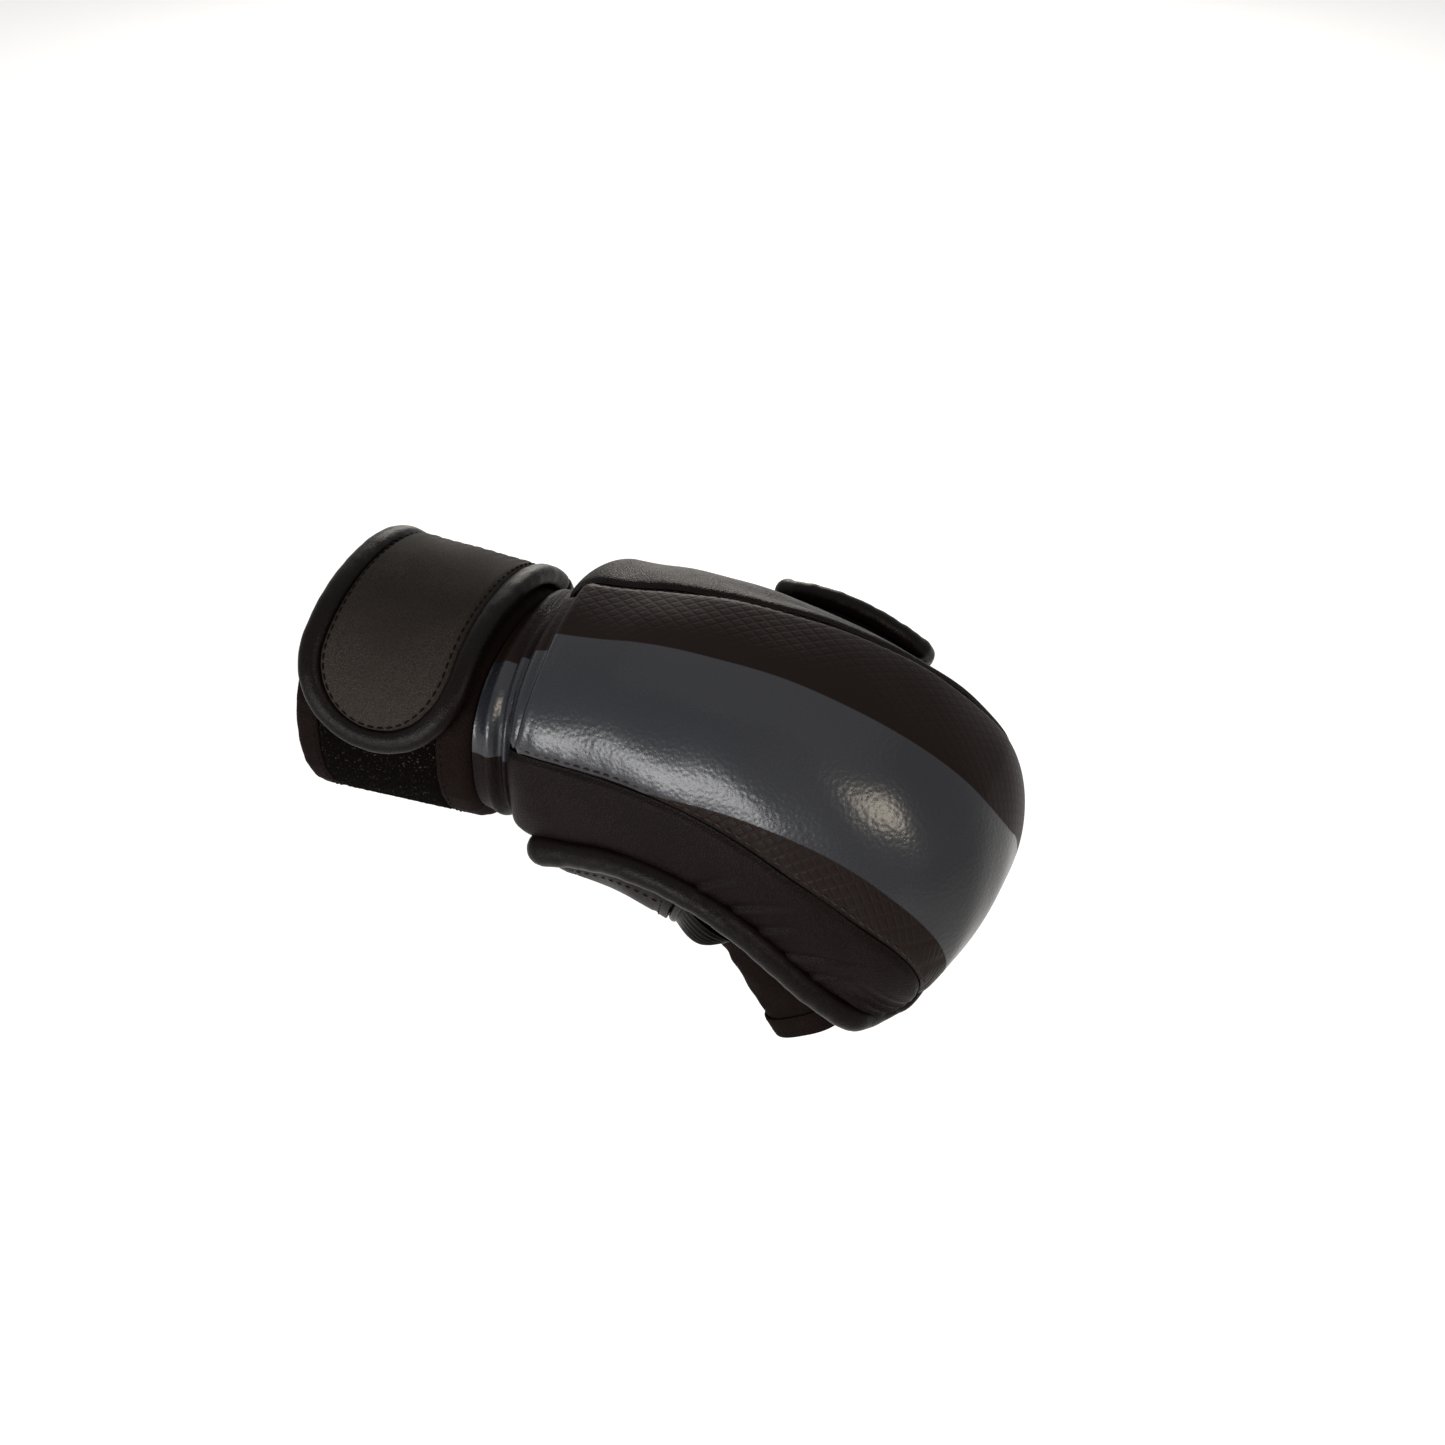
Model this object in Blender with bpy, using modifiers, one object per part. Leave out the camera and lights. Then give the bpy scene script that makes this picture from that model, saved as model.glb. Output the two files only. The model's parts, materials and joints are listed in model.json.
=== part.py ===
"""Right-hand padded MMA sparring glove, as worn: an open-palmed hand with four finger stalls, a padded
thumb and a strapped wrist cuff. The origin is the centre of the wrist opening, +X runs to the fingers,
+Y to the thumb and +Z out of the back of the hand. Sizes are in millimetres and angles in degrees."""

import bmesh
import bpy
import numpy as np

MM = 0.001

# Sheets and clearances
GAP = 0.3
LEATHER = 1.4
LINING = 1.2
TAPE = 1.2
TAPE_FOLD = 0.4
SEAM_GAP = 0.8

# Cuff
CUFF_LENGTH = 62.0
CUFF_HALF_WIDTH = 43.0
CUFF_HALF_HEIGHT = 37.5
CUFF_TAPER = 2.5
CUFF_FOAM = 8.0
CUFF_POWER = 2.2
WRIST_TAPE_WIDTH = 8.0
HAND_TAPE_WIDTH = 11.0

# Wrist strap
STRAP_WIDTH = 62.0
STRAP_ROLL = 3.6
STRAP_TIP_ROUND = 34.0
STRAP_TIP_TURN = 80.0
STRAP_ROOT_ANGLE = 34.0
STRAP_TIP_ANGLE = 174.0
STRAP_BASE_ANGLE = -75.0
LOOP_PILE = 1.2
LOOP_START_ANGLE = 95.0
LOOP_END_ANGLE = 258.0
HOOK_PILE = 1.0
HOOK_START_ANGLE = 118.0
STRAP_BACKING = 0.8
STRAP_FOAM = 2.6
STRAP_SKIN = 1.1

# Hand mid-line: straight from the wrist, then an even bend towards the palm
MIDLINE_HEIGHT = 2.5
STRAIGHT_LENGTH = 112.0
BEND_RADIUS = 95.0
BEND_ANGLE = 46.0
HAND_OFFSET = -2.0
OFFSET_LENGTH = 60.0

# Wrist neck between the cuff and the pad
NECK_LENGTH = 14.0
NECK_BOTTOM = 33.0
HEEL_LENGTH = 5.0
HEEL_CLEARANCE = 1.5
HEEL_TAPE_RADIUS = 2.2

# Hand pad
PAD_LENGTH = 152.0
PAD_POWER = 2.4
CROWN_AT_WRIST = 51.5
CROWN_AT_KNUCKLES = 69.0
CROWN_RISE = 105.0
WIDTH_RISE = 85.0
WIDENING = 5.0
REAR_ROUND = 14.0
FRONT_ROUND = 60.0
ROUND_POWER = 2.2
REAR_HALF_WIDTH = 41.5
FRONT_HALF_WIDTH = 36.0
SIDE_WALL = 7.5
END_WALL = 6.5
FOAM_SETBACK = 3.5
SKIN_END_SHARE = 0.35
FOAM_EASE = 0.9
LOWER_DEPTH = 38.0
EDGE_DROP_REAR = 17.0
EDGE_DROP_FRONT = 0.5
EDGE_CURVE = 3.0
INNER_FOAM_SHARE = 0.4
THUMB_SEAM_ANGLE = 86.0
THUMB_SEAM_TURN = 38.0
SHOULDER_DROP = 3.5
SHOULDER_FROM = 105.0
SHOULDER_RISE = 45.0
SHOULDER_FADE = 40.0
SHOULDER_WIDTH = 14.0
SHOULDER_ANGLE = 30.0
LITTLE_SEAM_HEIGHT = 0.35
LITTLE_SEAM_RISE = 0.2
PIPING_RADIUS = 3.4
PIPING_BULGE = 1.2
PIPING_SETBACK = 11.0
FRONT_PIPING_RADIUS = 2.6
FRONT_PIPING_SHARE = 0.4

# Space for the hand
CAVITY_AT_WRIST = 31.0
CAVITY_AT_HAND = 21.0
CAVITY_AT_FINGERS = 5.0
CAVITY_POWER = 4.0
WRIST_TAPER_LENGTH = 22.0
KNUCKLE_FROM = 118.0
KNUCKLE_TO = 160.0

# Palm strap
PALM_FROM = 97.0
PALM_WIDTH = 50.0
PALM_DEPTH = 44.0
PALM_LEATHER = 2.0
PALM_LINING = 2.0
PALM_TAPE_RADIUS = 2.2
PALM_TAPE_INSET = 1.2

# Finger stalls
ANCHOR_AT = 164.5
ANCHOR_WIDTH = 14.0
ANCHOR_THICKNESS = 2.0
STALL_HALF_WIDTH = 9.5
STALL_HALF_DEPTH = 13.5
STALL_POWER = 2.8
STALL_LEATHER = 1.4
STALL_TAPE = 0.9
STALL_DROP = 58.0
STALL_SPACING = 0.8
STALL_SEAT_SHARE = 0.5
FINGER_ROOM = 3.7
HEM_WIDTH = 8.0
MOUTH_WIDTH = 5.0
LITTLE_LENGTH = 62.0
RING_LENGTH = 65.0
MIDDLE_LENGTH = 66.0
INDEX_LENGTH = 63.0

# Thumb
THUMB_RADIUS = 12.0
THUMB_LEATHER = 1.4
THUMB_BASE_X = 98.0
THUMB_TIP_X = 178.0
THUMB_BASE_Z = -17.0
THUMB_ARCH_Z = 21.0
THUMB_TIP_Z = -17.0
THUMB_SPLAY = 5.0
THUMB_CLEARANCE = 1.2
THUMB_FOAM = 4.5
THUMB_SKIN = 1.2
THUMB_PAD_FROM = 0.34
THUMB_PAD_LOW = -78.0
THUMB_PAD_HIGH = 46.0
THUMB_ROLL = 3.4
THUMB_HEM_WIDTH = 7.0
WEB_FROM = 3.0
WEB_LENGTH = 24.0
WEB_DROP = 7.0
WEB_SEAM_ANGLE = -110.0

# Sampling of the curved surfaces
ROUND_STEPS = 32
STALL_STEPS = 20
FOAM_STATIONS = 14
FOAM_COLUMNS = 15
STRAP_ROWS = 20
TIP_ROWS = 8

# Sizes that follow from those above
STALL_LENGTHS = {
    "little": LITTLE_LENGTH,
    "ring": RING_LENGTH,
    "middle": MIDDLE_LENGTH,
    "index": INDEX_LENGTH,
}
STALL_OVERHANG = GAP + STALL_TAPE
STALL_PITCH = 2 * (STALL_HALF_WIDTH + STALL_OVERHANG) + STALL_SPACING
KNUCKLE_HALF_WIDTH = 2 * STALL_PITCH + FINGER_ROOM + SIDE_WALL
CUFF_WALL = LEATHER + GAP + CUFF_FOAM + GAP + LINING
NECK_START = CUFF_LENGTH + TAPE + 2 * GAP
PAD_START = NECK_START + NECK_LENGTH + GAP
PAD_END = PAD_START + PAD_LENGTH
STRAP_FLOOR = GAP + max(TAPE, LOOP_PILE) + GAP
BACKING_FLOOR = STRAP_FLOOR + HOOK_PILE + GAP
FOAM_FLOOR = BACKING_FLOOR + STRAP_BACKING + GAP
SKIN_FLOOR = FOAM_FLOOR + STRAP_FOAM + GAP
STRAP_TOP = SKIN_FLOOR + STRAP_SKIN

BLACK = ((0.018, 0.017, 0.017), 0.55)
CHARCOAL = ((0.032, 0.028, 0.026), 0.62)
SCALE_BROWN = ((0.025, 0.021, 0.020), 0.38)
FABRIC = ((0.012, 0.012, 0.013), 0.9)
FOAM = ((0.09, 0.09, 0.10), 0.95)


def clear_scene():
    for item in list(bpy.data.objects):
        bpy.data.objects.remove(item, do_unlink=True)


def collection(name):
    made = bpy.data.collections.new(name)
    bpy.context.scene.collection.children.link(made)
    return made


def ease(value):
    value = np.clip(value, 0, 1)
    return value * value * (3 - 2 * value)


def signed_power(value, exponent):
    return np.sign(value) * np.abs(value) ** exponent


def section(angle, half_width, top, bottom, upper_power, lower_power):
    """Across and up coordinates of a superellipse with unlike halves, angle 0 at the thumb side."""
    cos, sin = np.cos(angle), np.sin(angle)
    power = np.where(sin >= 0, upper_power, lower_power)
    across = half_width * signed_power(cos, 2 / power)
    up = np.where(sin >= 0, top, bottom) * signed_power(sin, 2 / power)
    return across, up


def angle_at(share, power):
    """The section angle whose height is this share of the section's own height."""
    return np.arcsin(np.clip(share, 0, 1) ** (power / 2))


def place(station, across, up):
    """Points at a distance along the hand's mid-line, across it and out of the back of the hand."""
    station, across, up = np.broadcast_arrays(station, across, up)
    bend = np.clip((station - STRAIGHT_LENGTH) / BEND_RADIUS, 0, np.radians(BEND_ANGLE))
    beyond = np.maximum(station - STRAIGHT_LENGTH - BEND_RADIUS * np.radians(BEND_ANGLE), 0)
    x = np.minimum(station, STRAIGHT_LENGTH) + BEND_RADIUS * np.sin(bend) + beyond * np.cos(bend)
    z = MIDLINE_HEIGHT - BEND_RADIUS * (1 - np.cos(bend)) - beyond * np.sin(bend)
    return np.stack([x + up * np.sin(bend), across, z + up * np.cos(bend)], axis=-1)


def heading(station):
    """The mid-line's direction at a station."""
    return place(station + 0.5, 0.0, 0.0) - place(station - 0.5, 0.0, 0.0)


def hand_centre(station):
    return HAND_OFFSET * ease((station - PAD_START) / OFFSET_LENGTH)


def swell(station):
    """One along the pad's body, falling to nothing in a quarter round at both ends."""
    front = np.clip((station - PAD_END + FRONT_ROUND) / FRONT_ROUND, 0, 1)
    rear = np.clip((PAD_START + REAR_ROUND - station) / REAR_ROUND, 0, 1)
    return ((1 - front**ROUND_POWER) * (1 - rear**ROUND_POWER)) ** (1 / ROUND_POWER)


def past_knuckles(station):
    return ease((station - KNUCKLE_FROM) / (KNUCKLE_TO - KNUCKLE_FROM))


def cavity_top(station):
    wrist = CAVITY_AT_WRIST - CAVITY_AT_HAND
    knuckles = CAVITY_AT_HAND - CAVITY_AT_FINGERS
    at_wrist = 1 - ease((station - PAD_START) / WRIST_TAPER_LENGTH)
    return CAVITY_AT_HAND + wrist * at_wrist - knuckles * past_knuckles(station)


def cavity_power(station):
    """The space for the hand is oval at the wrist and squarer under the fingers."""
    return PAD_POWER + (CAVITY_POWER - PAD_POWER) * past_knuckles(station)


def pad_top(station):
    rise = ease((station - PAD_START - REAR_ROUND / 2) / CROWN_RISE)
    crown = CROWN_AT_WRIST + (CROWN_AT_KNUCKLES - CROWN_AT_WRIST) * rise
    rim = cavity_top(station) + END_WALL
    return rim + (crown - rim) * swell(station)


def pad_half_width(station):
    rise = ease((station - PAD_START - REAR_ROUND / 2) / WIDTH_RISE)
    body = KNUCKLE_HALF_WIDTH - WIDENING * (1 - rise)
    rim = np.where(station < ANCHOR_AT, REAR_HALF_WIDTH, FRONT_HALF_WIDTH)
    return rim + (body - rim) * swell(station)


def edge_angle(station):
    """How far the pad's lower edge lies below the mid-line, as a section angle."""
    along = np.clip((station - PAD_START - PIPING_SETBACK) / (PAD_LENGTH - PIPING_SETBACK), 0, 1)
    drop = EDGE_DROP_FRONT + (EDGE_DROP_REAR - EDGE_DROP_FRONT) * (1 - along) ** EDGE_CURVE
    return angle_at(drop / LOWER_DEPTH, PAD_POWER)


def thumb_seam(station):
    """The seam starts near the crown at the wrist and turns to the thumb side at the front."""
    along = (station - PAD_START) / PAD_LENGTH
    return np.radians(THUMB_SEAM_ANGLE - THUMB_SEAM_TURN * along**2)


def little_seam(station):
    rise = ease((station - ANCHOR_AT) / (PAD_END - ANCHOR_AT))
    return np.pi - angle_at(LITTLE_SEAM_HEIGHT + LITTLE_SEAM_RISE * rise, PAD_POWER)


def shoulder(station, angle):
    """How far the leather is pulled in below the thumb's seam, over the knuckles."""
    below = (thumb_seam(station) - angle) * KNUCKLE_HALF_WIDTH
    reach = ease((station - SHOULDER_FROM) / SHOULDER_RISE) * ease((PAD_END - station) / SHOULDER_FADE)
    return SHOULDER_DROP * reach * ease(below / SHOULDER_WIDTH) * ease(angle / np.radians(SHOULDER_ANGLE))


def pad_surface(station, angle):
    across, up = section(
        angle, pad_half_width(station), pad_top(station), LOWER_DEPTH, PAD_POWER, PAD_POWER
    )
    slim = 1 - shoulder(station, angle) / np.hypot(across, up)
    return place(station, hand_centre(station) + across * slim, up * slim)


def cavity_surface(station, angle):
    half_width = pad_half_width(station) - SIDE_WALL
    across, up = section(
        angle, half_width, cavity_top(station), LOWER_DEPTH, cavity_power(station), PAD_POWER
    )
    return place(station, hand_centre(station) + across, up)


def even_stations(first, last, count):
    """Stations spaced evenly along the pad's crown, so that they gather where it turns down."""
    fine = np.linspace(first, last, 600)
    steps = np.hypot(np.diff(fine), np.diff(pad_top(fine)))
    travelled = np.concatenate([[0], np.cumsum(steps)])
    return np.interp(np.linspace(0, travelled[-1], count), travelled, fine)


def patch(surface, stations, first_angle, last_angle, count):
    """A grid of points on a surface, between two angles that vary along it."""
    share = np.linspace(0, 1, count)
    angle = first_angle[:, None] * (1 - share) + last_angle[:, None] * share
    return surface(stations[:, None] + 0 * angle, angle)


def normals(grid):
    along = np.gradient(grid, axis=0)
    around = np.gradient(grid, axis=1)
    normal = np.cross(around, along)
    return normal / np.linalg.norm(normal, axis=-1, keepdims=True)


def raised(grid, distance):
    return grid + normals(grid) * distance


def material(name, look):
    colour, roughness = look
    made = bpy.data.materials.new(name)
    made.use_nodes = True
    shader = made.node_tree.nodes["Principled BSDF"]
    shader.inputs["Base Color"].default_value = (*colour, 1)
    shader.inputs["Roughness"].default_value = roughness
    made.diffuse_color = (*colour, 1)
    return made


def add_object(name, data, look, pivot):
    """Links an object, gives it its material and hangs it from its body's pivot without moving it."""
    made = bpy.data.objects.new(name, data)
    data.materials.append(material(name, look))
    GLOVE.objects.link(made)
    made.parent = pivot
    made.matrix_parent_inverse = pivot.matrix_world.inverted()
    return made


def add_mesh(name, points, faces, look, pivot):
    mesh = bpy.data.meshes.new(name)
    mesh.from_pydata((points * MM).tolist(), [], faces)
    mesh.shade_smooth()
    mesh.set_sharp_from_angle(angle=np.radians(40))
    return add_object(name, mesh, look, pivot)


def face_outward(mesh):
    solid = bmesh.new()
    solid.from_mesh(mesh)
    bmesh.ops.recalc_face_normals(solid, faces=solid.faces)
    solid.to_mesh(mesh)
    solid.free()


def grid_faces(rows, columns, wrap=False, first=0):
    faces = []
    for row in range(rows - 1):
        for column in range(columns if wrap else columns - 1):
            after = (column + 1) % columns
            corner = first + row * columns
            following = corner + columns
            faces.append((corner + column, corner + after, following + after, following + column))
    return faces


def sheet(name, grid, thickness, look, pivot, wrap=False):
    """An open surface given a thickness away from the side that its normals point to."""
    rows, columns = grid.shape[:2]
    made = add_mesh(name, grid.reshape(-1, 3), grid_faces(rows, columns, wrap), look, pivot)
    solidify = made.modifiers.new("thickness", "SOLIDIFY")
    solidify.thickness = thickness * MM
    solidify.offset = -1
    solidify.use_even_offset = True
    return made


def block(name, outer, inner, look, pivot):
    """A solid between two matching grids."""
    rows, columns = outer.shape[:2]
    count = rows * columns
    faces = grid_faces(rows, columns)
    faces += [face[::-1] for face in grid_faces(rows, columns, first=count)]
    index = np.arange(count).reshape(rows, columns)
    rim = np.concatenate([index[:-1, 0], index[-1, :-1], index[:0:-1, -1], index[0, :0:-1]]).tolist()
    for here, there in zip(rim, rim[1:] + rim[:1]):
        faces.append((here, here + count, there + count, there))
    points = np.concatenate([outer.reshape(-1, 3), inner.reshape(-1, 3)])
    made = add_mesh(name, points, faces, look, pivot)
    face_outward(made.data)
    return made


def hoop(name, rings, look, pivot):
    """A closed outline swept all the way round: rings of points, the last joined to the first."""
    steps, corners = rings.shape[:2]
    faces = []
    for step in range(steps):
        here, there = step * corners, (step + 1) % steps * corners
        for corner in range(corners):
            after = (corner + 1) % corners
            faces.append((here + corner, here + after, there + after, there + corner))
    made = add_mesh(name, rings.reshape(-1, 3), faces, look, pivot)
    face_outward(made.data)
    return made


def cord(name, points, radius, look, pivot, cyclic=False):
    """A round cord along points, such as a rolled edge."""
    curve = bpy.data.curves.new(name, "CURVE")
    curve.dimensions = "3D"
    curve.bevel_depth = radius * MM
    curve.bevel_resolution = 2
    curve.use_fill_caps = not cyclic
    spline = curve.splines.new("POLY")
    spline.points.add(len(points) - 1)
    for point, position in zip(spline.points, points * MM):
        point.co = (*position, 1)
    spline.use_cyclic_u = cyclic
    return add_object(name, curve, look, pivot)


def pivot(name, position, parent=None):
    made = bpy.data.objects.new(name, None)
    made.empty_display_size = 0.01
    GLOVE.objects.link(made)
    made.location = np.array(position) * MM
    bpy.context.view_layer.update()
    if parent:
        made.parent = parent
        made.matrix_parent_inverse = parent.matrix_world.inverted()
    bpy.context.view_layer.update()
    return made


def cuff_point(x, angle, height):
    """A point a height above the cuff shell's outer face."""
    shrink = CUFF_TAPER * x / CUFF_LENGTH
    across, up = section(
        angle,
        CUFF_HALF_WIDTH - shrink + height,
        CUFF_HALF_HEIGHT - shrink + height,
        CUFF_HALF_HEIGHT - shrink + height,
        CUFF_POWER,
        CUFF_POWER,
    )
    return np.stack(np.broadcast_arrays(x, across, up), axis=-1)


def cuff_hoop(name, profile, look, body):
    """A cuff layer from its cross-section, given as (x, height) corners in turn."""
    x, height = np.array(profile).T
    angle = np.linspace(0, 2 * np.pi, ROUND_STEPS, endpoint=False)[:, None]
    return hoop(name, cuff_point(x[None, :], angle, height[None, :]), look, body)


def band(first_x, last_x, floor, thickness):
    return [(first_x, floor), (last_x, floor), (last_x, floor + thickness), (first_x, floor + thickness)]


def edge_tape(edge_x, width, inward):
    """A tape folded over the cuff's edge, in cross-section; inward is the way to the cuff's middle."""
    outer, inner = GAP, -CUFF_WALL - GAP
    end = edge_x - inward * GAP
    corners = [
        (edge_x + inward * width, outer),
        (edge_x + inward * width, outer + TAPE),
        (end - inward * TAPE_FOLD * TAPE, outer + TAPE),
        (end - inward * TAPE, outer),
        (end - inward * TAPE, inner),
        (end - inward * TAPE_FOLD * TAPE, inner - TAPE),
        (edge_x + inward * width, inner - TAPE),
        (edge_x + inward * width, inner),
        (end, inner),
        (end, outer),
    ]
    return corners


def build_cuff(body):
    lining_floor = -CUFF_WALL
    foam_floor = lining_floor + LINING + GAP
    cuff_hoop("cuff_shell", band(0, CUFF_LENGTH, -LEATHER, LEATHER), BLACK, body)
    cuff_hoop("cuff_foam", band(0, CUFF_LENGTH, foam_floor, CUFF_FOAM), FOAM, body)
    cuff_hoop("cuff_lining", band(0, CUFF_LENGTH, lining_floor, LINING), FABRIC, body)
    cuff_hoop("cuff_wrist_binding", edge_tape(0, WRIST_TAPE_WIDTH, 1), BLACK, body)
    cuff_hoop("cuff_hand_binding", edge_tape(CUFF_LENGTH, HAND_TAPE_WIDTH, -1), BLACK, body)
    angle = np.radians(np.linspace(LOOP_START_ANGLE, LOOP_END_ANGLE, 20))[None, :]
    first = WRIST_TAPE_WIDTH + GAP
    last = CUFF_LENGTH - HAND_TAPE_WIDTH - GAP
    x = np.linspace(first, last, 3)[:, None]
    outer = cuff_point(x, angle, GAP + LOOP_PILE)
    inner = cuff_point(x, angle, GAP)
    block("cuff_loop_patch", outer, inner, FABRIC, body)


def strap_arc(first_angle, last_angle):
    """Length of the strap's outer face between two angles, at the middle of the cuff."""
    angle = np.radians(np.linspace(first_angle, last_angle, 200))
    points = cuff_point(CUFF_LENGTH / 2, angle, STRAP_TOP)
    return np.concatenate([[0], np.cumsum(np.linalg.norm(np.diff(points, axis=0), axis=1))]), angle


def strap_outline(inset, first_angle=STRAP_ROOT_ANGLE):
    """Angles along the strap and its half-width there, drawn in by an inset from its edge."""
    length, angle = strap_arc(STRAP_ROOT_ANGLE, STRAP_TIP_ANGLE)
    start = np.interp(np.radians(first_angle), angle, length)
    reach = length[-1] - inset
    tip = STRAP_TIP_ROUND - inset
    straight = np.linspace(start, reach - tip, STRAP_ROWS - TIP_ROWS)
    turn = np.radians(STRAP_TIP_TURN) * np.linspace(0, 1, TIP_ROWS + 1)[1:]
    along = np.concatenate([straight, reach - tip + tip * np.sin(turn)])
    half = np.concatenate([1 + 0 * straight, np.cos(turn)]) * (STRAP_WIDTH / 2 - inset)
    return np.interp(along, length, angle), half


def strap_layer(name, floor, thickness, inset, look, body, first_angle=STRAP_ROOT_ANGLE):
    angle, half = strap_outline(inset, first_angle)
    x = CUFF_LENGTH / 2 + half[None, :] * np.linspace(-1, 1, 3)[:, None]
    outer = cuff_point(x, angle[None, :], floor + thickness)
    inner = cuff_point(x, angle[None, :], floor)
    block(name, outer, inner, look, body)


def build_strap(cuff, strap):
    inside_roll = 2 * STRAP_ROLL + GAP
    strap_layer("strap_panel", SKIN_FLOOR, STRAP_SKIN, inside_roll, CHARCOAL, strap)
    strap_layer("strap_foam", FOAM_FLOOR, STRAP_FOAM, inside_roll, FOAM, strap)
    strap_layer("strap_backing", BACKING_FLOOR, STRAP_BACKING, inside_roll, BLACK, strap)
    strap_layer("strap_hook_patch", STRAP_FLOOR, HOOK_PILE, inside_roll, FABRIC, strap, HOOK_START_ANGLE)
    angle, half = strap_outline(STRAP_ROLL)
    x = CUFF_LENGTH / 2 + np.concatenate([half, -half[::-1]])
    path = cuff_point(x, np.concatenate([angle, angle[::-1]]), STRAP_FLOOR + STRAP_ROLL + GAP)
    cord("strap_roll", path, STRAP_ROLL, BLACK, strap)
    seam = np.degrees(SEAM_GAP / CUFF_HALF_WIDTH)
    angle = np.radians(np.linspace(STRAP_BASE_ANGLE, STRAP_ROOT_ANGLE - seam, 14))[None, :]
    x = CUFF_LENGTH / 2 + STRAP_WIDTH / 2 * np.linspace(-1, 1, 3)[:, None]
    outer = cuff_point(x, angle, STRAP_TOP)
    inner = cuff_point(x, angle, STRAP_FLOOR)
    block("strap_base", outer, inner, CHARCOAL, cuff)


def pad_stations():
    """Stations of the foam, and of the skins round it, which reach both ends of the pad."""
    foam = even_stations(PAD_START + FOAM_SETBACK, PAD_END - FOAM_SETBACK, FOAM_STATIONS)
    nearer = FOAM_SETBACK * np.array([0, SKIN_END_SHARE])
    return foam, np.concatenate([PAD_START + nearer, foam, PAD_END - nearer[::-1]])


def build_pad(body):
    foam_stations, stations = pad_stations()
    edge, thumb, little = edge_angle(stations), thumb_seam(stations), little_seam(stations)
    half_seam = SEAM_GAP / 2 / KNUCKLE_HALF_WIDTH
    top = patch(pad_surface, stations, thumb + half_seam, little - half_seam, 11)
    thumb_side = patch(pad_surface, stations, -edge, thumb - half_seam, 10)
    little_side = patch(pad_surface, stations, little + half_seam, np.pi + edge, 6)
    sheet("pad_top_cover", top, LEATHER, SCALE_BROWN, body)
    sheet("pad_thumb_gusset", thumb_side, LEATHER, BLACK, body)
    sheet("pad_little_gusset", little_side, LEATHER, BLACK, body)
    hollow = patch(cavity_surface, stations, -edge, np.pi + edge, FOAM_COLUMNS)
    sheet("pad_lining", raised(hollow, LINING), LINING, FABRIC, body)
    skin = patch(pad_surface, stations, -edge, np.pi + edge, FOAM_COLUMNS)
    foam_rows = np.isin(stations, foam_stations)
    foam_top = raised(skin, -LEATHER - FOAM_EASE)[foam_rows]
    foam_floor = raised(hollow, LINING + FOAM_EASE)[foam_rows]
    between = foam_top - foam_floor
    middle = foam_floor + between * INNER_FOAM_SHARE
    split = between / np.linalg.norm(between, axis=-1, keepdims=True) * FOAM_EASE
    block("pad_outer_foam", foam_top, middle + split, FOAM, body)
    block("pad_inner_foam", middle, foam_floor, FOAM, body)


def piping_point(station, side):
    """Middle of the rolled edge below the pad's wall; side is 1 for the thumb, -1 for the little finger."""
    angle = -edge_angle(station)
    angle = angle if side > 0 else np.pi - angle
    outer, inner = pad_surface(station, angle), cavity_surface(station, angle)
    wall = (outer - inner) / np.linalg.norm(outer - inner, axis=-1, keepdims=True)
    along = np.gradient((outer + inner) / 2, axis=0)
    down = np.cross(wall, along) * side
    down /= np.linalg.norm(down, axis=-1, keepdims=True)
    return (outer + inner) / 2 + wall * PIPING_BULGE + down * (PIPING_RADIUS + 2 * GAP)


def build_piping(body):
    first, last = PAD_START + PIPING_SETBACK, PAD_END - PIPING_RADIUS
    stations = np.linspace(first, last, 24)
    cord("thumb_piping", piping_point(stations, 1), PIPING_RADIUS, BLACK, body)
    cord("little_piping", piping_point(stations, -1), PIPING_RADIUS, BLACK, body)
    angle = np.linspace(0, np.pi, 25)
    lower = cavity_surface(PAD_END, angle)
    middle = lower + (pad_surface(PAD_END, angle) - lower) * FRONT_PIPING_SHARE
    path = middle + heading(PAD_END) * (FRONT_PIPING_RADIUS + 2 * GAP)
    cord("front_piping", path, FRONT_PIPING_RADIUS, BLACK, body)


def neck_surface(station, angle):
    """From the cuff's end to the pad's rim, round the wrist."""
    along = ease((station - NECK_START) / NECK_LENGTH)
    rim_top = cavity_top(np.array(PAD_START)) + END_WALL
    half_width = CUFF_HALF_WIDTH - CUFF_TAPER + (REAR_HALF_WIDTH - CUFF_HALF_WIDTH + CUFF_TAPER) * along
    top = CUFF_HALF_HEIGHT - CUFF_TAPER - MIDLINE_HEIGHT
    top = top + (rim_top - top) * along
    across, up = section(angle, half_width, top, NECK_BOTTOM, PAD_POWER, PAD_POWER)
    return place(station, across, up)


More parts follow.
